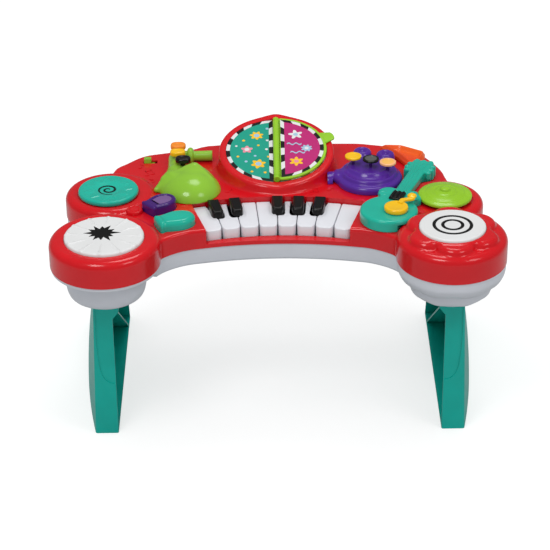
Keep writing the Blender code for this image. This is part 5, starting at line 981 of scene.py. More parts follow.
class TABLE_OT_legs(bpy.types.Operator):
    """Makes both legs: swelling boards, open towards the middle, with slanting ribs and a sunken front"""
    bl_idname = "activity_table.legs"
    bl_label = "Legs"

    def execute(self, context):
        look = context.scene.table_legs
        teal = finish("leg plastic")
        panel = corners_rounded([(180.0, 190), (180.0, 70), (199.0, 70), (208.5, 82), (212.5, 120),
                                 (211.5, 190)], (0, 0, 10, 12, 20, 0), 6)
        collar = corners_rounded([(184.0, 188.7), (184.0, 169.0), (192.5, 158.0), (211.5, 158.0),
                                  (211.5, 188.7)], (0.5, 2, 4, 0, 0), 4)
        for hand, side in ((-1, "left"), (1, "right")):
            ribs = []
            for row in range(5):
                start, high = -118.5 + row * 52.0, BAND_LOW * 0.86
                run, thick = high / math.tan(math.radians(36)), 2.4 / math.sin(math.radians(36))
                ribs.append(sideways(np.array([(start, high), (start + run, 0.0), (start + run + thick, 0.0),
                                               (start + thick, high)]), 192.1, 262.0))
            shaping = [(operation, leg_side(skin, hand)) for operation, skin in
                       (("cut", leg_skin(3.0, OVERRUN, 24, 24)),
                        ("cut", bar(188, 230, -125, -49.2, 188.7, 215)),
                        ("join", upright(collar, -120.0, -72.0)),
                        ("join", bar(186.0, 211.0, -118.0, -74.0, 186.2, 208.7)),
                        ("cut", upright(panel, -125, -119)))]
            piece(f"leg_{side}", leg_side(leg_skin(0.0, 0.0, edge=look.edge / MM), hand), teal, "table",
                  (f"{side}_leg",), shaping)
            limit = leg_side(leg_skin(1.5, 0.0, 24, 24), hand)
            web = [("keep", limit), ("cut", leg_side(bar(180, 230, -125, -49.2, 160, 215), hand))]
            piece(f"leg_{side}_ribs", [leg_side(rib, hand) for rib in ribs], teal, "table",
                  (), web)
        return {"FINISHED"}


class TABLE_OT_keys(bpy.types.Operator):
    """Makes the eight white keys and the five black ones, each on its own body"""
    bl_idname = "activity_table.keys"
    bl_label = "Keys"

    def execute(self, context):
        look = context.scene.table_keys
        white, black = finish("key white"), finish("key black")
        slim, wide, notch = KEY_GAP / 2, 8.62, KEY_REAR - 34.8

        def at(radius, boundary, width):
            return fan(radius, boundary + width / radius)

        def side_of(boundary):
            """A white key's side, drawn in behind a notch where a black key stands: each corner's distance
            from the fan's middle, its distance from the boundary, and its rounding."""
            if boundary in BLACK_BOUNDARIES:
                return [(notch, slim, 1.2), (notch, 6.6, 2.0), (notch + 5, wide, 2.0), (KEY_REAR, wide, 1.0)]
            return [(KEY_REAR, slim, 2.5)]
        for index in range(KEY_COUNT):
            left = (index - KEY_COUNT / 2) * KEY_PITCH
            right = left + KEY_PITCH
            middle = (left + right) / 2
            front = KEY_FRONT + 0.2
            corners = [at(front, left, slim), fan(front - 0.3, middle), at(front, right, -slim)]
            corners += [at(radius, right, -away) for radius, away, _ in side_of(index + 1)]
            corners += [at(radius, left, away) for radius, away, _ in side_of(index)[::-1]]
            widths = [9.5, 3, 9.5] + [corner[2] for corner in side_of(index + 1) + side_of(index)[::-1]]
            outline = corners_rounded(np.array(corners), np.array(widths), 4)

            def sloped(points, middle=middle):
                along = np.hypot(points[:, 0], points[:, 1] - FAN_Y) - KEY_FRONT
                lower = points[:, 2] < KEY_TOP - 4
                drop = np.where(lower, 0, 1.1 * np.clip(1 - along / 9, 0, 1) ** 2)
                return points - np.column_stack([0 * along, 0 * along, drop])
            skin = raised(outline, KEY_BOTTOM, KEY_TOP, look.edge / MM, 0.4, 4, sloped)
            tail = raised(np.array([at(KEY_REAR - 2, middle, -4), at(KEY_REAR - 2, middle, 4),
                                    at(KEY_REAR + 9, middle, 4), at(KEY_REAR + 9, middle, -4)]),
                          TAIL_LOW, TAIL_TOP)
            inner = [at(KEY_FRONT + 4.6, left, 4.6), at(KEY_FRONT + 4.6, right, -4.6),
                     at(notch - 2, right, -4.6), at(notch - 2, left, 4.6)]
            hollow = raised(np.array(inner), 228, KEY_TOP - 2)
            name = f"white_key_{index + 1}"
            piece(name + "_cap", skin, white, name, (name,),
                  [("cut", hollow), ("join", tail)])
        for number, boundary in enumerate(BLACK_BOUNDARIES, 1):
            angle = (boundary - KEY_COUNT / 2) * KEY_PITCH
            front = KEY_REAR - 34.0
            shape = np.array([(-5.6, front), (5.6, front), (7.6, front + 5), (7.6, KEY_REAR - 0.3),
                              (-7.6, KEY_REAR - 0.3), (-7.6, front + 5)])
            outline = corners_rounded(shape, (1.5, 1.5, 2, 1.5, 1.5, 2), 3)
            c, s = math.cos(angle), math.sin(angle)

            def on_fan(points):
                x, y, z = points.T
                return np.stack([x * c + y * s, FAN_Y - x * s + y * c, z], 1)

            def bevelled(points):
                """The top slopes down over the nose and its edge is drawn in by a flat bevel."""
                x, y, z = points.T
                high = np.clip((z - 247.0) / 9.5, 0, 1)
                nose = np.clip((front + 6 - y) / 6, 0, 1)
                z = z - high * 1.6 * nose
                x = x * (1 - 0.12 * high)
                y = np.where(y < front + 10, y + high * 1.2, y - high * 0.2)
                return on_fan(np.stack([x, y, z], 1))
            skin = raised(outline, 234.25, 256.5, 2.0, 0.0, 4, bevelled)
            tail = bar(-3.5, 3.5, KEY_REAR - 2, KEY_REAR + 9, TAIL_LOW, TAIL_TOP)
            tail = outward(on_fan(tail[0]), tail[1])
            name = f"black_key_{number}"
            piece(name + "_cap", skin, black, name, (name,), [("join", tail)])
        return {"FINISHED"}


def quarter_round(radius, top, edge):
    """A profile's rounded rim: from the top out by edge sin t and down by edge (1 - cos t)."""
    t = np.linspace(0, math.pi / 2, 6)
    return list(zip(radius - edge + edge * np.sin(t), top - edge + edge * np.cos(t)))


def plate(outline, low, thickness, slot=0):
    """A thin closed plate over an outline."""
    points, groups = raised(outline, low, low + thickness)
    return points, [(faces, slot) for faces, _ in groups]


def pad_skin(radius, top, x, y, relief=None, slots=None, rows=()):
    """A drum pad: crown, rim drawn in over 2.5 mm, skirt, and the flange that holds it under its lobe."""
    flange = 259.2
    inner = radius - 2.2
    crown = [(0, top)] + [(r, top) for r in rows] + [(radius - 3.5, top), (radius - 2.5, top)]
    rim = quarter_round(radius, top, 2.5)[1:]
    low = [(radius, flange), (radius + 2, flange), (radius + 2, flange - 2), (inner, flange - 2),
           (inner, top - 2.2), (0, top - 2.2)]
    return turned(crown + rim + low, 336, x, y, relief, slots)


class TABLE_OT_drum_pads(bpy.types.Operator):
    """Makes both drum pads: ridges and a burst on the left one, two rings on the right one"""
    bl_idname = "activity_table.drum_pads"
    bl_label = "Drum pads"

    def execute(self, context):
        look = context.scene.table_pads
        white, ink = finish("pad white"), finish("black print")
        height, count = look.ridge / MM, look.ridges

        def ridges(r, t, h):
            """Each ridge is a bell curve across, fading in from the burst, and ends in a round stud."""
            turn = (t - math.pi / 2 + 0.06) * count / (2 * math.pi)
            across = (turn - np.round(turn)) * 2 * math.pi / max(count, 1) * r
            on_top = h > 262.3
            along = np.clip((r - 21) / 8, 0, 1) * np.clip((44.5 - r) / 1.5, 0, 1)
            stud = 1.0 * np.exp(-(across / 1.5) ** 2) * np.clip((r - 38) / 2, 0, 1)
            return on_top * (height * np.exp(-(across / 0.9) ** 2) * along + stud)
        rows = np.concatenate([[8, 16], np.arange(20, 42.6, 1.25)])
        skin = pad_skin(LEFT_PAD, 265.5, *LEFT_DRUM, ridges, None, rows)
        piece("drum_pad_left_shell", skin, white, "left_drum_pad", ("left_drum_pad",))
        spikes = np.array([22.5, 12, 17, 10.5, 20, 12, 16, 9.5, 19.5, 11, 18, 12, 21, 11, 16.5, 10, 18.5,
                           11.5, 17, 10, 21.5, 12, 16, 10.5])
        turns = np.linspace(0, 2 * math.pi, len(spikes), endpoint=False) + 0.02
        burst = np.stack([-203 + spikes * np.cos(turns), -103 + spikes * np.sin(turns)], 1)
        piece("drum_pad_left_burst", plate(burst, 265.45, 0.2), ink, "left_drum_pad")

        rows = (9.4, 13.4, 19.4, 23.4)
        segments = len(rows) + 3 + 5 + 6 - 1
        skin = pad_skin(RIGHT_PAD, 273.0, *RIGHT_DRUM, None, [0, 1, 0, 1] + [0] * (segments - 4), rows)
        piece("drum_pad_right_shell", skin, (white, ink), "right_drum_pad",
              ("right_drum_pad",))
        return {"FINISHED"}


class TABLE_OT_disc_and_cymbal(bpy.types.Operator):
    """Makes the turning disc with its spiral and zigzag, and the cymbal with its knob"""
    bl_idname = "activity_table.disc_and_cymbal"
    bl_label = "Disc and cymbal"

    def execute(self, context):
        teal, lime, ink = finish("disc teal"), finish("cymbal lime"), finish("black print")

        def zigzag(r, t, h):
            """Raised triangles between radii 20 and 31: a triangle wave of the turn, cut off at the height
            that the radius asks for, with the sunken middle left plain."""
            wave = np.abs((t * 11 / (2 * math.pi)) % 1 - 0.5) * 2
            share = (r - 20.0) / 11.0
            inside = (share > 0) & (share < 1)
            lift = np.clip((wave - share * 0.9) * 3.5, 0, 1) - 0.5
            return np.where(inside & (h > 263), 0.9 * lift * np.sin(math.pi * np.clip(share, 0, 1)) ** 0.5, 0)
        dish = [(0, 262.4), (6, 262.5), (12, 262.8), (15, 263.4), (17, 264.0)]
        rows = [(r, 264.3) for r in np.arange(18.5, 32.6, 0.75)]
        rim = quarter_round(36, 264.3, 2.8)
        low = [(36, 259.6), (35.2, 258.3), (4, 258.3), (4, 255.2), (0, 255.2)]
        piece("spinner_top", turned(dish + rows + rim + low, 264, *DISC, zigzag), teal, "spinner",
              ("spinner_disc",))
        t = np.linspace(0, 1, 90)
        turn, reach = 2 * math.pi * 1.75 * t + 0.4, 1.8 + 11.4 * t
        wide = 2.8 * np.sin(math.pi * np.clip(t * 0.97 + 0.02, 0, 1)) ** 0.4
        outer, inner = (DISC + (reach + side)[:, None] * np.stack([np.cos(turn), np.sin(turn)], 1)
                        for side in (wide / 2, -wide / 2))
        base = np.interp(reach, *zip(*dish))
        layers = [np.column_stack([line, base + lift]) for line, lift in
                  ((outer, -0.1), (outer, 0.2), (inner, 0.2), (inner, -0.1))]
        count = len(t)
        ribbon = np.stack(layers, 1).reshape(-1, 3)
        ends = [(np.arange(4)[None, :], 0), (np.arange(4 * count - 4, 4 * count)[None, ::-1], 0)]
        piece("spinner_spiral", outward(ribbon, [(grid_faces(count, 4, True), 0), *ends]), ink, "spinner")

        def rings(r, t, h):
            """Shallow rounded grooves at radii 13 and 24."""
            groove = np.exp(-((r - 13.5) / 1.3) ** 2) + 0.6 * np.exp(-((r - 24.5) / 1.2) ** 2)
            return np.where(h > 264.5, -0.8 * groove, 0)
        r = np.concatenate([np.arange(7.4, 31, 0.9), [31.4]])
        bow = np.column_stack([r, 264.0 + 6.0 * np.cos(np.clip(r / 32.0, 0, 1) * math.pi / 2) ** 0.8])
        profile = [(0, 273.0), (3.4, 273.0), (4.9, 272.6), (5.7, 271.8), (6.0, 270.6), (6.2, 270.0), *bow,
                   (32.0, 263.2), (32.0, 261.6), (31.0, 260.8), (4, 260.8), (4, 255.2), (7, 255.2),
                   (7, 253.6), (0, 253.6)]
        piece("cymbal_top", turned(profile, 128, *CYMBAL, rings), lime, "cymbal",
              ("cymbal",), sharp=45)
        return {"FINISHED"}


class TABLE_OT_maracas(bpy.types.Operator):
    """Makes the two maraca buttons: round heads that narrow to a square, ridged handle"""
    bl_idname = "activity_table.maracas"
    bl_label = "Maracas"

    def execute(self, context):
        plum, pale, teal = finish("maraca plum"), finish("maraca pale"), finish("guitar teal")
        for name, shape, material in (("purple", PURPLE_MARACA, plum), ("teal", TEAL_MARACA, teal)):
            x0, y0, turn, length, width = shape
            outline = spline(maraca_outline(*shape), 5)

            def field(x, y, z):
                away = outline_distance(x, y, outline)
                along = (x - x0) * math.cos(turn) + (y - y0) * math.sin(turn)
                crown = 1.6 * np.clip(1 - (away / (width * 0.5) + 1) ** 2, 0, 1)
                groove = 0.9 * np.exp(-((along + length * 0.36) / 0.8) ** 2) * (away < -2.5)
                if name == "purple":
                    sunk = 1.3 * np.clip((-away - 4.5) / 1.2, 0, 1) * np.clip((along + length * 0.3), 0, 1)
                    return np.maximum(block(away, z + sunk, 266.0, 2.8), 251.4 - z)
                return np.maximum(block(away, z + groove - crown + 1.2, 266.2, 5.0), 251.4 - z)
            low, high = outline.min(0) - 2, outline.max(0) + 2
            head = moulded(field, (*low, 250.5), (*high, 268.5), 0.7)
            flange = raised(grown(outline, 2), 249.2, 251.2)
            body = f"{name}_maraca_button"
            piece(f"maraca_{name}_head", [head, flange], material, body, (body,), sharp=50)
            if name == "purple":
                inlay = outline[(outline - (x0, y0)) @ (math.cos(turn), math.sin(turn)) > -length * 0.3]
                piece("maraca_purple_inlay", plate(grown(inlay, -4.4), 264.4, 0.6), pale, body)
        return {"FINISHED"}


def half_disc(side, radius, inner, steps=40):
    """Half a round card: its rim, and its straight edge at x = inner."""
    start = math.asin(inner / radius)
    rim = arc(0, 0, radius, -math.pi / 2 + start, math.pi / 2 - start, steps)
    return rim if side > 0 else rim * (-1, 1)


def spine_rod(near, far, radius, sides=40, points=3):
    """A rod along the line that the page turns about, in the book's own frame."""
    t = 2 * math.pi * np.arange(sides) / sides
    y = np.linspace(near, far, points)[:, None]
    rod = np.stack([radius * np.cos(t) + 0 * y, y + 0 * t, PAGE_AXIS - radius * np.sin(t) + 0 * y], -1)
    return tilted(closed_rows(rod.reshape(-1, 3), points))


def striped_card(side, radius, inner, low, high, border, dash):
    """A half-round card whose top has a border of stripes, turn by turn black and white, round a plain
    ground: the outline is cut into equal lengths, drawn in by the border, and each length's strip takes
    the next ink."""
    start = math.asin(inner / radius)
    sweep = math.pi - 2 * start
    round_steps = max(2, round(radius * sweep / dash))
    straight = 2 * radius * math.cos(start)
    straight_steps = max(2, round(straight / dash))
    fine = 6
    rim = arc(0, 0, radius, -math.pi / 2 + start, math.pi / 2 - start, round_steps * fine)
    edge_y = np.linspace(rim[-1, 1], rim[0, 1], straight_steps * fine + 1)[1:-1]
    outline = np.vstack([rim, np.column_stack([np.full(len(edge_y), inner), edge_y])])
    inside = half_disc(1, radius - border, inner + border, round_steps * fine)
    inner_y = np.linspace(inside[-1, 1], inside[0, 1], straight_steps * fine + 1)[1:-1]
    drawn = np.vstack([inside, np.column_stack([np.full(len(inner_y), inner + border), inner_y])])
    if side < 0:
        outline, drawn = outline * (-1, 1), drawn * (-1, 1)
    count = len(outline)
    points = np.vstack([np.column_stack([ring, np.full(count, z)]) for ring, z in
                        ((outline, low), (outline, high), (drawn, high))])
    number = np.arange(count)
    stripe = np.where((number // fine) % 2 == 0, 1, 2)
    quads = grid_faces(3, count, True).reshape(2, count, 4)
    groups = [(quads[0], 0)] + [(quads[1][stripe == ink], ink) for ink in (1, 2)]
    groups += [(np.arange(count)[None, ::-1], 0), (np.arange(2 * count, 3 * count)[None, :], 0)]
    return outward(points, groups)


def blob(x, y, radius, sides=20, wave=0.0, lobes=5, turn=0.0):
    """A closed outline whose radius goes as radius (1 + wave cos(lobes t))."""
    t = 2 * math.pi * np.arange(sides) / sides
    r = radius * (1 + wave * np.cos(lobes * t))
    return np.stack([x + r * np.cos(t + turn), y + r * np.sin(t + turn)], 1)


class TABLE_OT_book(bpy.types.Operator):
    """Makes the round book: two fixed cards, the spine, and the page that turns over it"""
    bl_idname = "activity_table.book"
    bl_label = "Book"

    def execute(self, context):
        look = context.scene.table_book
        teal, magenta, lime = (finish(f"page {colour}") for colour in ("teal", "magenta", "lime"))
        black, white = finish("print black"), finish("print white")
        inks = (finish("print yellow"), finish("print blue"), finish("print rose"), white)
        border, dash, ink = look.border / MM, look.dash / MM, look.ink / MM
        for side, hand in ((-1, "left"), (1, "right")):
            skin = striped_card(side, BOOK_RADIUS, CARD_INNER, -CARD, 0.0, border, dash)
            piece(f"card_{hand}", tilted(skin), (teal, black, white), "table",
                  (f"book_{hand}_card",))

        def dots(rows):
            return [plate(blob(x, y, size), -0.05, ink + 0.05, slot) for x, y, size, slot in rows]
        suns, moons = [], []
        for x, y, size, lobes, slot in ((-24, 30, 7.0, 7, 0), (-36, 2, 6.0, 5, 2), (-22, -27, 7.5, 6, 0)):
            suns.append(plate(blob(x, y, size, 84, 0.22, lobes, 0.3), -0.05, ink + 0.05, slot))
            suns.append(plate(blob(x, y, size * 0.5, 36), -0.04, ink + 0.14, (slot + 1) % 4))
        suns += dots(((-11, 44, 1.9, 1), (-40, 20, 1.8, 0), (-11, 20, 1.7, 3), (-22, 10, 1.6, 0),
                      (-12, 2, 1.8, 3), (-47, -12, 1.7, 0), (-37, -22, 1.9, 1), (-10, -13, 1.6, 0),
                      (-30, -42, 1.7, 0), (-14, -44, 1.8, 0), (-26, -11, 1.7, 1), (-49, 9, 1.5, 3)))
        for x, y, size, slot in ((24, 30, 6.5, 3), (36, 2, 6.0, 0), (22, -28, 7.0, 1)):
            moons.append(plate(blob(x, y, size, 60, 0.3, 4, 0.4), -0.05, ink + 0.05, slot))
        moons += dots(((12, 44, 1.9, 0), (40, 20, 1.8, 1), (12, 8, 1.7, 3), (24, 10, 1.6, 0),
                       (46, -14, 1.7, 0), (36, -24, 1.9, 1), (12, -12, 1.6, 0), (30, -43, 1.7, 0)))
        piece("card_left_print", [tilted(p) for p in suns], inks, "table")
        piece("card_right_print", [tilted(p) for p in moons], inks, "table")

        half = BOOK_RADIUS - 1.2 - 4.4
        foot = bar(-3.6, 3.6, -half + 0.3, half - 0.3, -CARD, PAGE_AXIS)
        spine = [spine_rod(-half, half, SPINE_RADIUS), spine_rod(-half - 4, half + 4, 1.5, 20, 2),
                 tilted(foot)]
        piece("spine_barrel", spine, lime, "table", ("book_spine",))

        top = GAP + PAGE
        inner = CARD_INNER + 1.2
        page = raised(half_disc(1, BOOK_RADIUS, CARD_INNER, 72), GAP, top, 0.8, 0.8)
        tab = corners_rounded([(0, -11), (8, -8.5), (15, -6.5), (15, 6.5), (8, 8.5), (0, 11)],
                              (2, 4, 7, 7, 4, 2), 6)
        tab = turned_plan(tab + (BOOK_RADIUS - 1.2, 0), 0, 0, math.radians(20))
        shaping = [("join", tilted(raised(tab, GAP * 2, top - GAP, 1.0, 0.8)))]
        lug = half + 0.4
        for hand in (-1, 1):
            near, far = sorted((hand * lug, hand * (lug + 4)))
            shaping += [("join", spine_rod(near, far, SPINE_RADIUS)),
                        ("join", tilted(bar(0, 11, near + 0.3, far - 0.3, GAP * 2, top - 0.45)))]
        window = half_disc(1, BOOK_RADIUS - FRAME_BORDER + 0.2, inner - 0.2, 60)
        shaping += [("cut", spine_rod(-half - 9, half + 9, 1.8, 20, 2)),
                    ("cut", tilted(raised(window, top - PAGE_CARD - 0.2, top + 3)))]
        piece("page_frame", tilted(page), lime, "book_page", ("flip_page",), shaping)
        skin = striped_card(1, BOOK_RADIUS - FRAME_BORDER, inner, top - PAGE_CARD, top, border, dash)
        piece("page_card", tilted(skin), (magenta, black, white), "book_page",
              ("flip_page_card",))
        level = top - 0.05
        page_print = []
        petals = ((24, 27, 6.8, 0.34, 5, 3), (37, -1, 6.0, 0.20, 8, 1), (24, -27, 7.0, 0.28, 6, 0))
        for x, y, size, wave, lobes, slot in petals:
            page_print.append(plate(blob(x, y, size, 90, wave, lobes, 0.5), level, ink + 0.05, slot))
            page_print.append(plate(blob(x, y, size * 0.42, 30), level + 0.01, ink + 0.14, (slot + 2) % 4))
        wave_x = np.linspace(-9, 9, 24)
        for x, y, slot in ((22, 8, 1), (26, -9, 1)):
            wave_y = 1.6 * np.sin(wave_x * 0.7)
            line = np.vstack([np.column_stack([wave_x, wave_y + 1.1]),
                              np.column_stack([wave_x, wave_y - 1.1])[::-1]])
            page_print.append(plate(line + (x, y), level, ink + 0.05, slot))
        piece("page_print", [tilted(p) for p in page_print], inks, "book_page")
        return {"FINISHED"}


def key_cap(x, y, outline, low, high, edge):
    """The parts of a round-stemmed push key: its cap, its stem, and the flange that holds it in."""
    return [raised(outline, low, high, edge, min(edge, 1.2)), drum(STEM, 250.4, low + 1, x, y, 32),
            drum(5, FLANGE_LOW, FLANGE_TOP, x, y, 32)]


def oval(x, y, length, width, power=2.6, sides=48):
    """A rounded rectangle from above: |x|^p + |y|^p = 1, stretched to its length and width."""
    t = 2 * math.pi * np.arange(sides) / sides
    c, s = np.cos(t), np.sin(t)
    return np.stack([x + np.sign(c) * np.abs(c) ** (2 / power) * length / 2,
                     y + np.sign(s) * np.abs(s) ** (2 / power) * width / 2], 1)


class TABLE_OT_saxophone(bpy.types.Operator):
    """Makes the saxophone: bell with its ridges and lip, neck, collar and mouthpiece, and three keys"""
    bl_idname = "activity_table.saxophone"
    bl_label = "Saxophone"

    def execute(self, context):
        look = context.scene.table_instruments
        lime = finish("sax lime")

        def field(x, y, z):
            bell = egg(x, y, z, (-104, 23, 250), (37, 38, 26.5))
            bell = melt(bell, egg(x, y, z, (-101, 42, 252), (22, 19, 25)), 8)
            for rod in (((-144.5, 19, 257), (-127, 31, 261), 3.6, 14),
                        ((-136, 29, 267), (-101, 47, 275.0), 2.4, 2.6),
                        ((-98, 47, 275.0), (-79, 24, 267), 2.4, 2.0)):
                bell = melt(bell, capsule(x, y, z, *rod), 5)
            neck = melt(capsule(x, y, z, (-112, 46, 256), (-122.5, 64, 255.4), 11.2, 11.2),
                        capsule(x, y, z, (-122.5, 64, 255.4), (-122.0, 99, 255.4), 11.2, 11.2), 3)
            neck = melt(neck, capsule(x, y, z, (-121.5, 99, 257.5), (-114, 101.6, 259.5), 10.0, 7.5), 4)
            pipe = np.maximum(np.hypot(y - 101.6, z - 260.8) - 6.0 - 0.5 * (x + 101) / 22,
                              np.maximum(x + 79, -116 - x))
            band = (np.hypot(np.hypot(y - 101.6, z - 260.8) - 6.6, x + 106) - 3.9)
            body = melt(melt(bell, neck, 6), melt(pipe, band, 2), 2)
            return np.maximum(body, ON_DECK - z)
        skin = moulded(field, (-150.0, -18.0, 253.0), (-66.0, 116.0, 284.0), look.step / MM)
        piece("saxophone_body", skin, lime, "table", ("sax_body",), sharp=50)

        for word, (x, y, length, width) in zip(("orange", "yellow", "black"), SAX_KEYS):
            outline = oval(x, y, length - 0.2, width - 0.2)
            dish = turned([(0, 277), (5.4, 277), (4.6, 275.2), (3.4, 274.7), (0, 274.6)], 48, 0, 0)
            points = dish[0] * (length / width, 1, 1) + (x, y, 0)
            body = f"sax_{word}_key"
            cap, stem, flange = key_cap(x, y, outline, 269.6, 275.6, 2.4)
            piece(f"saxophone_{word}_key", cap, finish(f"sax key {word}"), body, (body,),
                  [("join", stem), ("join", flange), ("cut", (points, dish[1]))])
        return {"FINISHED"}


class TABLE_OT_horn(bpy.types.Operator):
    """Makes the horn: stepped coil, tail, loops, fading bell, and three keys on stems"""
    bl_idname = "activity_table.horn"
    bl_label = "Horn"

    def execute(self, context):
        look = context.scene.table_instruments
        purple = finish("horn purple")

        def field(x, y, z):
            body = block(circle(x, y, 112, 42, 40), z, 262.8, 4.5)
            for at_y, radius, top, edge in ((45.5, 34.5, 266.4, 3.0), (52, 27, 269.6, 3.5)):
                body = melt(body, block(circle(x, y, 112, at_y, radius), z, top, edge), 2.5)
            front = np.clip((48 - y) / 10, 0, 1)
            for at_y, radius, height, thick in ((45.5, 31.5, 265.6, 1.6), (52, 23.5, 268.9, 1.4)):
                bead = np.hypot(circle(x, y, 112, at_y, radius), z - height)
                body = melt(body, bead - thick * front, 1.5)
            tail = capsule(x, y, z, (69, 45, 259), (82, 44, 259), 5.5, 7.5)
            for at in (74.0, 79.0):
                tail = melt(tail, capsule(x, y, z, (at, 40, 259), (at, 50, 259), 6.2), 1.5)
            plate_x = np.maximum(np.abs(x - 64.5) - 3.2, np.hypot((y - 45) / 12.5, (z - 254) / 9.8) * 9 - 9)
            tail = melt(tail, plate_x, 2)
            body = melt(body, tail, 4)
            for loop_x, loop_y, root_x in ((106, 96, 109), (134, 88, 128)):
                around = np.hypot(x - loop_x, y - loop_y)
                coil = melt(block(around - 11.8, z, 266.5, 5), np.hypot(around - 7.0, z - 265.2) - 3.9, 2)
                body = melt(body, coil, 3)
                body = melt(body, capsule(x, y, z, (root_x, 76, 257), (loop_x, loop_y - 6, 257), 7.5), 4)
            body = np.maximum(body, RING_RADIUS + 0.35 - np.hypot(x, y - BOOK_Y))
            return np.maximum(body, ON_DECK - z)
        skin = moulded(field, (59.0, 0.0, 253.0), (154.0, 110.0, 272.0), look.step / MM)
        piece("horn_coil", skin, purple, "table", ("horn_body",), sharp=50)

        orange = material_named("bell orange", plastic, look.bell, rough=0.24, coat=0.4, mottle=0.05,
                                fade=(look.bell_edge, (0.6, 0.8, 0.0), 178.0, 214.0))
        shares = np.array([(0.735, 0.62), (0.81, 0.42), (0.89, 0.60), (0.90, 0.69), (0.76, 0.82),
                           (0.63, 0.83)])
        outline = corners_rounded(shares * (HALF_WIDTH, HALF_DEPTH), (1.5, 3, 4, 4, 5, 2), 5)

        def bell_field(x, y, z):
            away = outline_distance(x, y, outline)
            crest = 258.0 + 5.2 * np.exp(-((away + 4.0) / 3.0) ** 2) + 1.2 * np.clip(-away / 12, 0, 1)
            return np.maximum(np.maximum(away, (z - crest) * 0.6), ON_DECK - z)
        low, high = outline.min(0) - 1.5, outline.max(0) + 1.5
        skin = moulded(bell_field, (*low, 253.4), (*high, 265.0), 0.8)
        piece("horn_bell_cone", skin, orange, "table", ("horn_bell",), sharp=55)

        profile = [(0, 280.2), (6.6, 280.2), (7.3, 280.9), (9.2, 281.0), (9.8, 280.7), (10, 280.1),
                   (10, 279), (9.7, 278.3), (9, 278), (2.2, 277.4), (1.9, 272), (1.9, 268),
                   (3, FLANGE_TOP), (5, FLANGE_TOP), (5, FLANGE_LOW), (0, FLANGE_LOW)]
        slots = [1, 1] + [0] * 7 + [2] * 6
        for word, (x, y) in zip(("yellow", "black", "peach"), HORN_KEYS):
            finishes = [finish(f"horn key {word} rim"), finish(f"horn key {word} face"),
                        finish("maraca plum")]
            body = f"horn_{word}_key"
            piece(f"horn_key_{word}", turned(profile, 72, x, y, None, slots), finishes, body,
                  (body,), sharp=40)
        return {"FINISHED"}


GUITAR, GUITAR_TURN = (130.0, -57.0), math.radians(68)
STRUMMER = (138.0, -62.0)


def guitar_frame(x, y):
    """Places in the guitar's own directions: along its neck and across it."""
    c, s = math.cos(GUITAR_TURN), math.sin(GUITAR_TURN)
    dx, dy = x - GUITAR[0], y - GUITAR[1]
    return dx * c + dy * s, dy * c - dx * s


def guitar_plan(points):
    """Points given along and across the guitar, in the plan."""
    return turned_plan(points, *GUITAR, GUITAR_TURN)


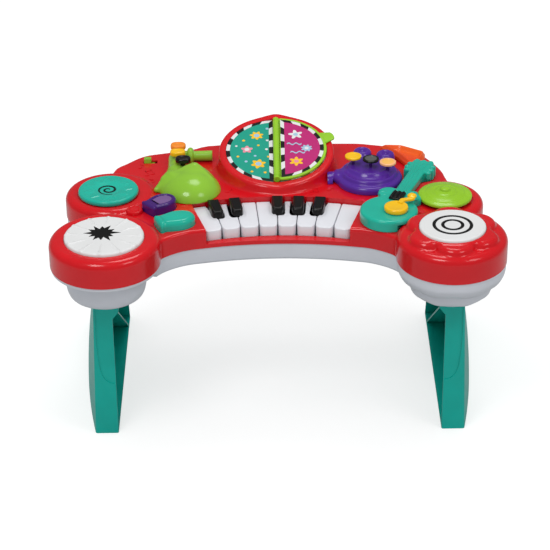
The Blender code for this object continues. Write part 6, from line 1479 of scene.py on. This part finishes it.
class TABLE_OT_guitar(bpy.types.Operator):
    """Makes the guitar: body, ridged neck and scalloped head, the ribbed bridge and the strummer"""
    bl_idname = "activity_table.guitar"
    bl_label = "Guitar"

    def execute(self, context):
        step = context.scene.table_instruments.step / MM
        top = 268.2
        head = guitar_plan([(46, -9), (104, -9.6), (113, -14.5), (133, -13), (135.5, 0), (133, 13),
                            (113, 14.5), (104, 9.6), (46, 9)])

        def field(x, y, z):
            along, across = guitar_frame(x, y)
            plan = melt(np.hypot(along, across) - 34, np.hypot(along - 41, across - 14) - 13, 7)
            plan = melt(plan, np.hypot(along - 41, across + 14) - 13, 7)
            plan = np.minimum(plan, np.maximum(np.abs(across) - 18, np.abs(along - 30) - 18))
            body = block(plan, z, top, 3.5)
            neck = outline_distance(x, y, head)
            for at, side in ((107, 13.5), (115, 15), (123.5, 14.5), (107, -13.5), (115, -15), (123.5, -14.5)):
                neck = melt(neck, np.hypot(along - at, across - side) - 3.6, 1.5)
            for side in (-8.5, 0, 8.5):
                neck = melt(neck, np.hypot(along - 134, across - side) - 3.4, 1.5)
            body = melt(body, block(neck, z, top - 0.6, 2.2), 1.5)
            for side in (-5.6, -1.9, 1.9, 5.6):
                spread = side * (1 + np.clip((along - 100) / 60, 0, 1))
                line = np.hypot(across - spread, z - top + 0.75)
                body = melt(body, np.maximum(line - 1.1, np.abs(along - 86) - 40), 0.8)
            for side in (-1, 1):
                curl = np.hypot(np.hypot(along - 34, across - side * 19) - 4.5, z - top + 0.5) - 0.9
                body = melt(body, np.maximum(curl, 30 - along), 0.6)
            lobes = [np.maximum(circle(x, y, cx, cy, radius + 0.5), z - height - 0.5)
                     for cx, cy, radius, height in (LOBES[1], LOBES[3])]
            for away in (*lobes, circle(x, y, *RIGHT_DRUM, 51.5), circle(x, y, *CYMBAL, 33.0)):
                body = np.maximum(body, -away)
            return np.maximum(body, ON_DECK - z)
        skin = moulded(field, (94.0, -93.0, 253.2), (195.0, 76.0, 269.6), step)
        bore = drum(2.9, 262.0, 275, *STRUMMER, 32)
        piece("guitar_shell", skin, finish("guitar teal"), "table", ("guitar_body",),
              [("cut", bore)], sharp=50)

        parts = [raised(guitar_plan(rounded_box(21.2, 40.8, -8, 8, 2)), 268.6, 271.0, 0.8)]
        for across in (-5.2, 0, 5.2):
            rib = rounded_box(21.8, 40.2, across - 1.7, across + 1.7, 1.4)
            parts.append(raised(guitar_plan(rib), 270.5, 272.5, 1.3))
        piece("guitar_string_bridge", parts, finish("bridge black"), "table",
              ("guitar_bridge",))

        reach, turn = 34.0, math.radians(50)
        t = np.linspace(0, 1, 24)
        bow = 3.6 * np.sin(2 * math.pi * t) * np.clip(t * 2, 0, 1)
        middle = turned_plan(np.column_stack([7 + (reach - 9) * t, bow]), *STRUMMER, turn)
        side = turned_plan(np.column_stack([0 * t, 3.4 + 0 * t]), 0, 0, turn)
        arm = raised(np.vstack([middle + side, (middle - side)[::-1]]), 272.9, 275.9, 1.2, 0.4)
        ball = turned([(0, 277.4), (1.8, 277.3), (3.6, 276.8), (5.0, 275.8), (5.5, 274.6), (5.3, 273.4),
                       (4.6, 272.9), (0, 272.9)], 48, *turned_plan([(reach - 3, 0)], *STRUMMER, turn)[0])
        disc = turned([(0, 274.3), (9.5, 274.3), (10.6, 274.6), (12.2, 274.6), (13.4, 274.1), (14, 273.1),
                       (14, 270.0), (13.6, 269.0), (12.8, 268.6), (2.5, 268.6), (2.5, 262.4), (0, 262.4)],
                      96, *STRUMMER)
        piece("guitar_strum_paddle", disc, finish("strummer yellow"), "guitar_strummer",
              ("guitar_strummer",), [("join", arm), ("join", ball)], sharp=40)
        return {"FINISHED"}


class TABLE_OT_slider(bpy.types.Operator):
    """Makes the lime slider knob behind the saxophone"""
    bl_idname = "activity_table.slider"
    bl_label = "Slider"

    def execute(self, context):
        x, y, length, width = SLIDER
        outline = rounded_box(x - length / 2, x + length / 2, y - width / 2, y + width / 2, 1.6)
        knob = raised(outline, 251, 260, 1.4)
        shoe = bar(x - length / 2 - 4, x + length / 2 + 4, y - width / 2 - 2, y + width / 2 + 2,
                   FLANGE_LOW, FLANGE_TOP)
        grips = [bar(at - 0.45, at + 0.45, y - width, y + width, 259.5, 261) for at in (x - 2, x, x + 2)]
        piece("slider_knob", knob, finish("sax lime"), "mode_slider", ("mode_slider",),
              [("join", shoe)] + [("cut", grip) for grip in grips])
        return {"FINISHED"}


def note_outline(x, y, turn, size, tails):
    """The pieces of a raised quaver: an oval head, a stem, and a flag at the stem's top."""
    parts = []
    for number in range(tails):
        shift = number * size * 0.9
        parts.append(oval(shift, 0, size * 0.72, size * 0.5, 2, 28))
        parts.append(np.array([(shift + size * 0.26, 0), (shift + size * 0.36, 0),
                               (shift + size * 0.36, size * 1.3), (shift + size * 0.26, size * 1.3)]))
    end = size * 0.36 + (tails - 1) * size * 0.9
    if tails > 1:
        parts.append(np.array([(size * 0.26, size * 1.1), (end, size * 1.1), (end, size * 1.34),
                               (size * 0.26, size * 1.34)]))
    else:
        parts.append(np.array([(size * 0.3, size * 1.3), (size * 0.3, size * 1.05), (size * 0.62, size * 0.8),
                               (size * 0.72, size * 0.55), (size * 0.78, size * 0.85),
                               (size * 0.6, size * 1.1)]))
    return [turned_plan(part, x, y, turn) for part in parts]


class TABLE_OT_deck_marks(bpy.types.Operator):
    """Makes what is raised on the deck: quavers, and the small round boss beside the near drum"""
    bl_idname = "activity_table.deck_marks"
    bl_label = "Deck marks"

    def execute(self, context):
        red = finish("red plastic")
        skins = []
        for x, y, turn, size, tails in ((-158, 64, 0.5, 8, 2), (-168, 84, 0.2, 7, 1), (-60, 17, -0.4, 7, 1),
                                        (42, 14, 0.15, 6.5, 2), (62, 18, -0.35, 6.5, 1),
                                        (-150, 46, 0.9, 6, 1)):
            skins += [raised(part, DECK - 0.4, DECK + 0.5, 0.0) for part in
                      note_outline(x, y, turn, size, tails)]
        piece("deck_quavers", skins, red, "table")
        boss = turned([(0, 258.2), (4.6, 258.2), (5.4, 257.6), (6.0, 257.2), (6.7, 257.8), (7.8, 258.2),
                       (9.0, 257.9), (9.8, 256.9), (10, 255.6), (10, 253.6), (0, 253.6)], 72, -169, -31)
        piece("deck_boss", boss, red, "table")
        return {"FINISHED"}


def circuit(name, base, trace):
    """Circuit board lacquer: thin pale tracks from the edges of square cells, over an even ground."""
    material, wire, surface = new_material(name)
    place = wire.node("TexCoord", out="Object")
    cells = wire.node("TexVoronoi", {"Vector": place, "Scale": 190.0, "Randomness": 0.35},
                      out="Distance", feature="DISTANCE_TO_EDGE", distance="EUCLIDEAN")
    tracks = 1 - cells.between(0.03, 0.06)
    grain = wire.node("TexNoise", {"Vector": place, "Scale": 900.0, "Detail": 2.0})
    ground = grain.mixed(shade(base, 0.85), shade(base, 1.15))
    bump = wire.node("Bump", {"Strength": 0.3, "Distance": 0.0001, "Height": tracks})
    wire.feed(surface, {"Base Color": tracks.mixed(ground, shade(trace, 1.0)),
                        "Roughness": 0.5 - tracks * 0.15, "Normal": bump})
    return material


def steel(name, colour):
    """Bright metal with a fine grain of small bumps and a little dulled."""
    material, wire, surface = new_material(name)
    place = wire.node("TexCoord", out="Object")
    rings = wire.node("TexNoise", {"Vector": place, "Scale": 2600.0, "Detail": 3.0})
    dull = wire.node("TexNoise", {"Vector": place, "Scale": 300.0, "Detail": 3.0})
    bump = wire.node("Bump", {"Strength": 0.15, "Distance": 0.0001, "Height": rings})
    wire.feed(surface, {"Base Color": dull.mixed(shade(colour, 0.82), shade(colour, 1.0)),
                        "Roughness": 0.22 + dull * 0.22, "Normal": bump, "Metallic": 1.0})
    return material


def sleeve(name, body, cap):
    """A battery's sleeve: one colour for most of its length, another near its far end."""
    return plastic(name, body, rough=0.35, coat=0.3, mottle=0.02, peel=0.03, scuffs=0.04,
                   fade=(cap, (0.0, 1.0, 0.0), 81.0, 82.0))


class TABLE_OT_inner_parts(bpy.types.Operator):
    """Gives the working parts under the casing their finishes"""
    bl_idname = "activity_table.inner_parts"
    bl_label = "Inner parts"

    def execute(self, context):
        look = context.scene.table_inner
        finishes = {"steel": material_named("screw steel", steel, look.steel),
                    "circuit_board": material_named("board", circuit, look.board, look.track),
                    "rubber": finish("dull rubber"),
                    "battery_sleeve": material_named("battery sleeve", sleeve, look.sleeve, look.cap),
                    "grey_plastic": finish("grey plastic")}
        names = ("battery_1", "battery_2", "battery_3", "battery_door", "battery_door_screw",
                 "key_contact_board", "key_hinge_rail", "key_rubber_strip", "main_board", "speaker",
                 "spinner_retainer") + tuple(f"case_screw_{n}" for n in range(1, 7))
        for name in names:
            part = bpy.data.objects.get(name)
            if part is None:
                raise RuntimeError(f"{name} is not in the frame")
            for slot in part.material_slots:
                slot.link = "OBJECT"
                slot.material = finishes[slot.material.name if slot.material else "grey_plastic"]
        return {"FINISHED"}


class TABLE_PT_panel(bpy.types.Panel):
    """Lists the pieces that can be built, and their settings"""
    bl_idname = "TABLE_PT_panel"
    bl_label = "Activity table"
    bl_space_type = "VIEW_3D"
    bl_region_type = "UI"
    bl_category = "Activity table"

    def draw(self, context):
        for settings in SETTINGS:
            box = self.layout.box()
            look = getattr(context.scene, settings)
            for value in look.bl_rna.properties.keys():
                if value not in ("rna_type", "name"):
                    box.prop(look, value)
        for maker in MAKERS:
            self.layout.operator(maker.bl_idname)


SETTINGS = {"table_stage": StageLook, "table_casing": CasingLook, "table_legs": LegLook,
            "table_book": BookLook, "table_keys": KeyLook, "table_pads": PadLook,
            "table_instruments": InstrumentLook, "table_inner": InnerLook}
MAKERS = (TABLE_OT_stage, TABLE_OT_top_casing, TABLE_OT_bottom_casing, TABLE_OT_legs, TABLE_OT_keys,
          TABLE_OT_drum_pads, TABLE_OT_disc_and_cymbal, TABLE_OT_maracas, TABLE_OT_book,
          TABLE_OT_saxophone, TABLE_OT_horn, TABLE_OT_guitar, TABLE_OT_slider, TABLE_OT_deck_marks,
          TABLE_OT_inner_parts)


def register():
    """Registers the settings, makers and panel, and hangs the settings on the scene."""
    for kind in (*SETTINGS.values(), *MAKERS, TABLE_PT_panel):
        bpy.utils.register_class(kind)
    for name, kind in SETTINGS.items():
        setattr(bpy.types.Scene, name, PointerProperty(type=kind))


def unregister():
    """Takes away what register() added."""
    for name in SETTINGS:
        delattr(bpy.types.Scene, name)
    for kind in (TABLE_PT_panel, *reversed(MAKERS), *SETTINGS.values()):
        bpy.utils.unregister_class(kind)


def main():
    """Builds every piece in turn."""
    register()
    for maker in MAKERS:
        group, name = maker.bl_idname.split(".")
        getattr(getattr(bpy.ops, group), name)()


if __name__ == "__main__":
    main()
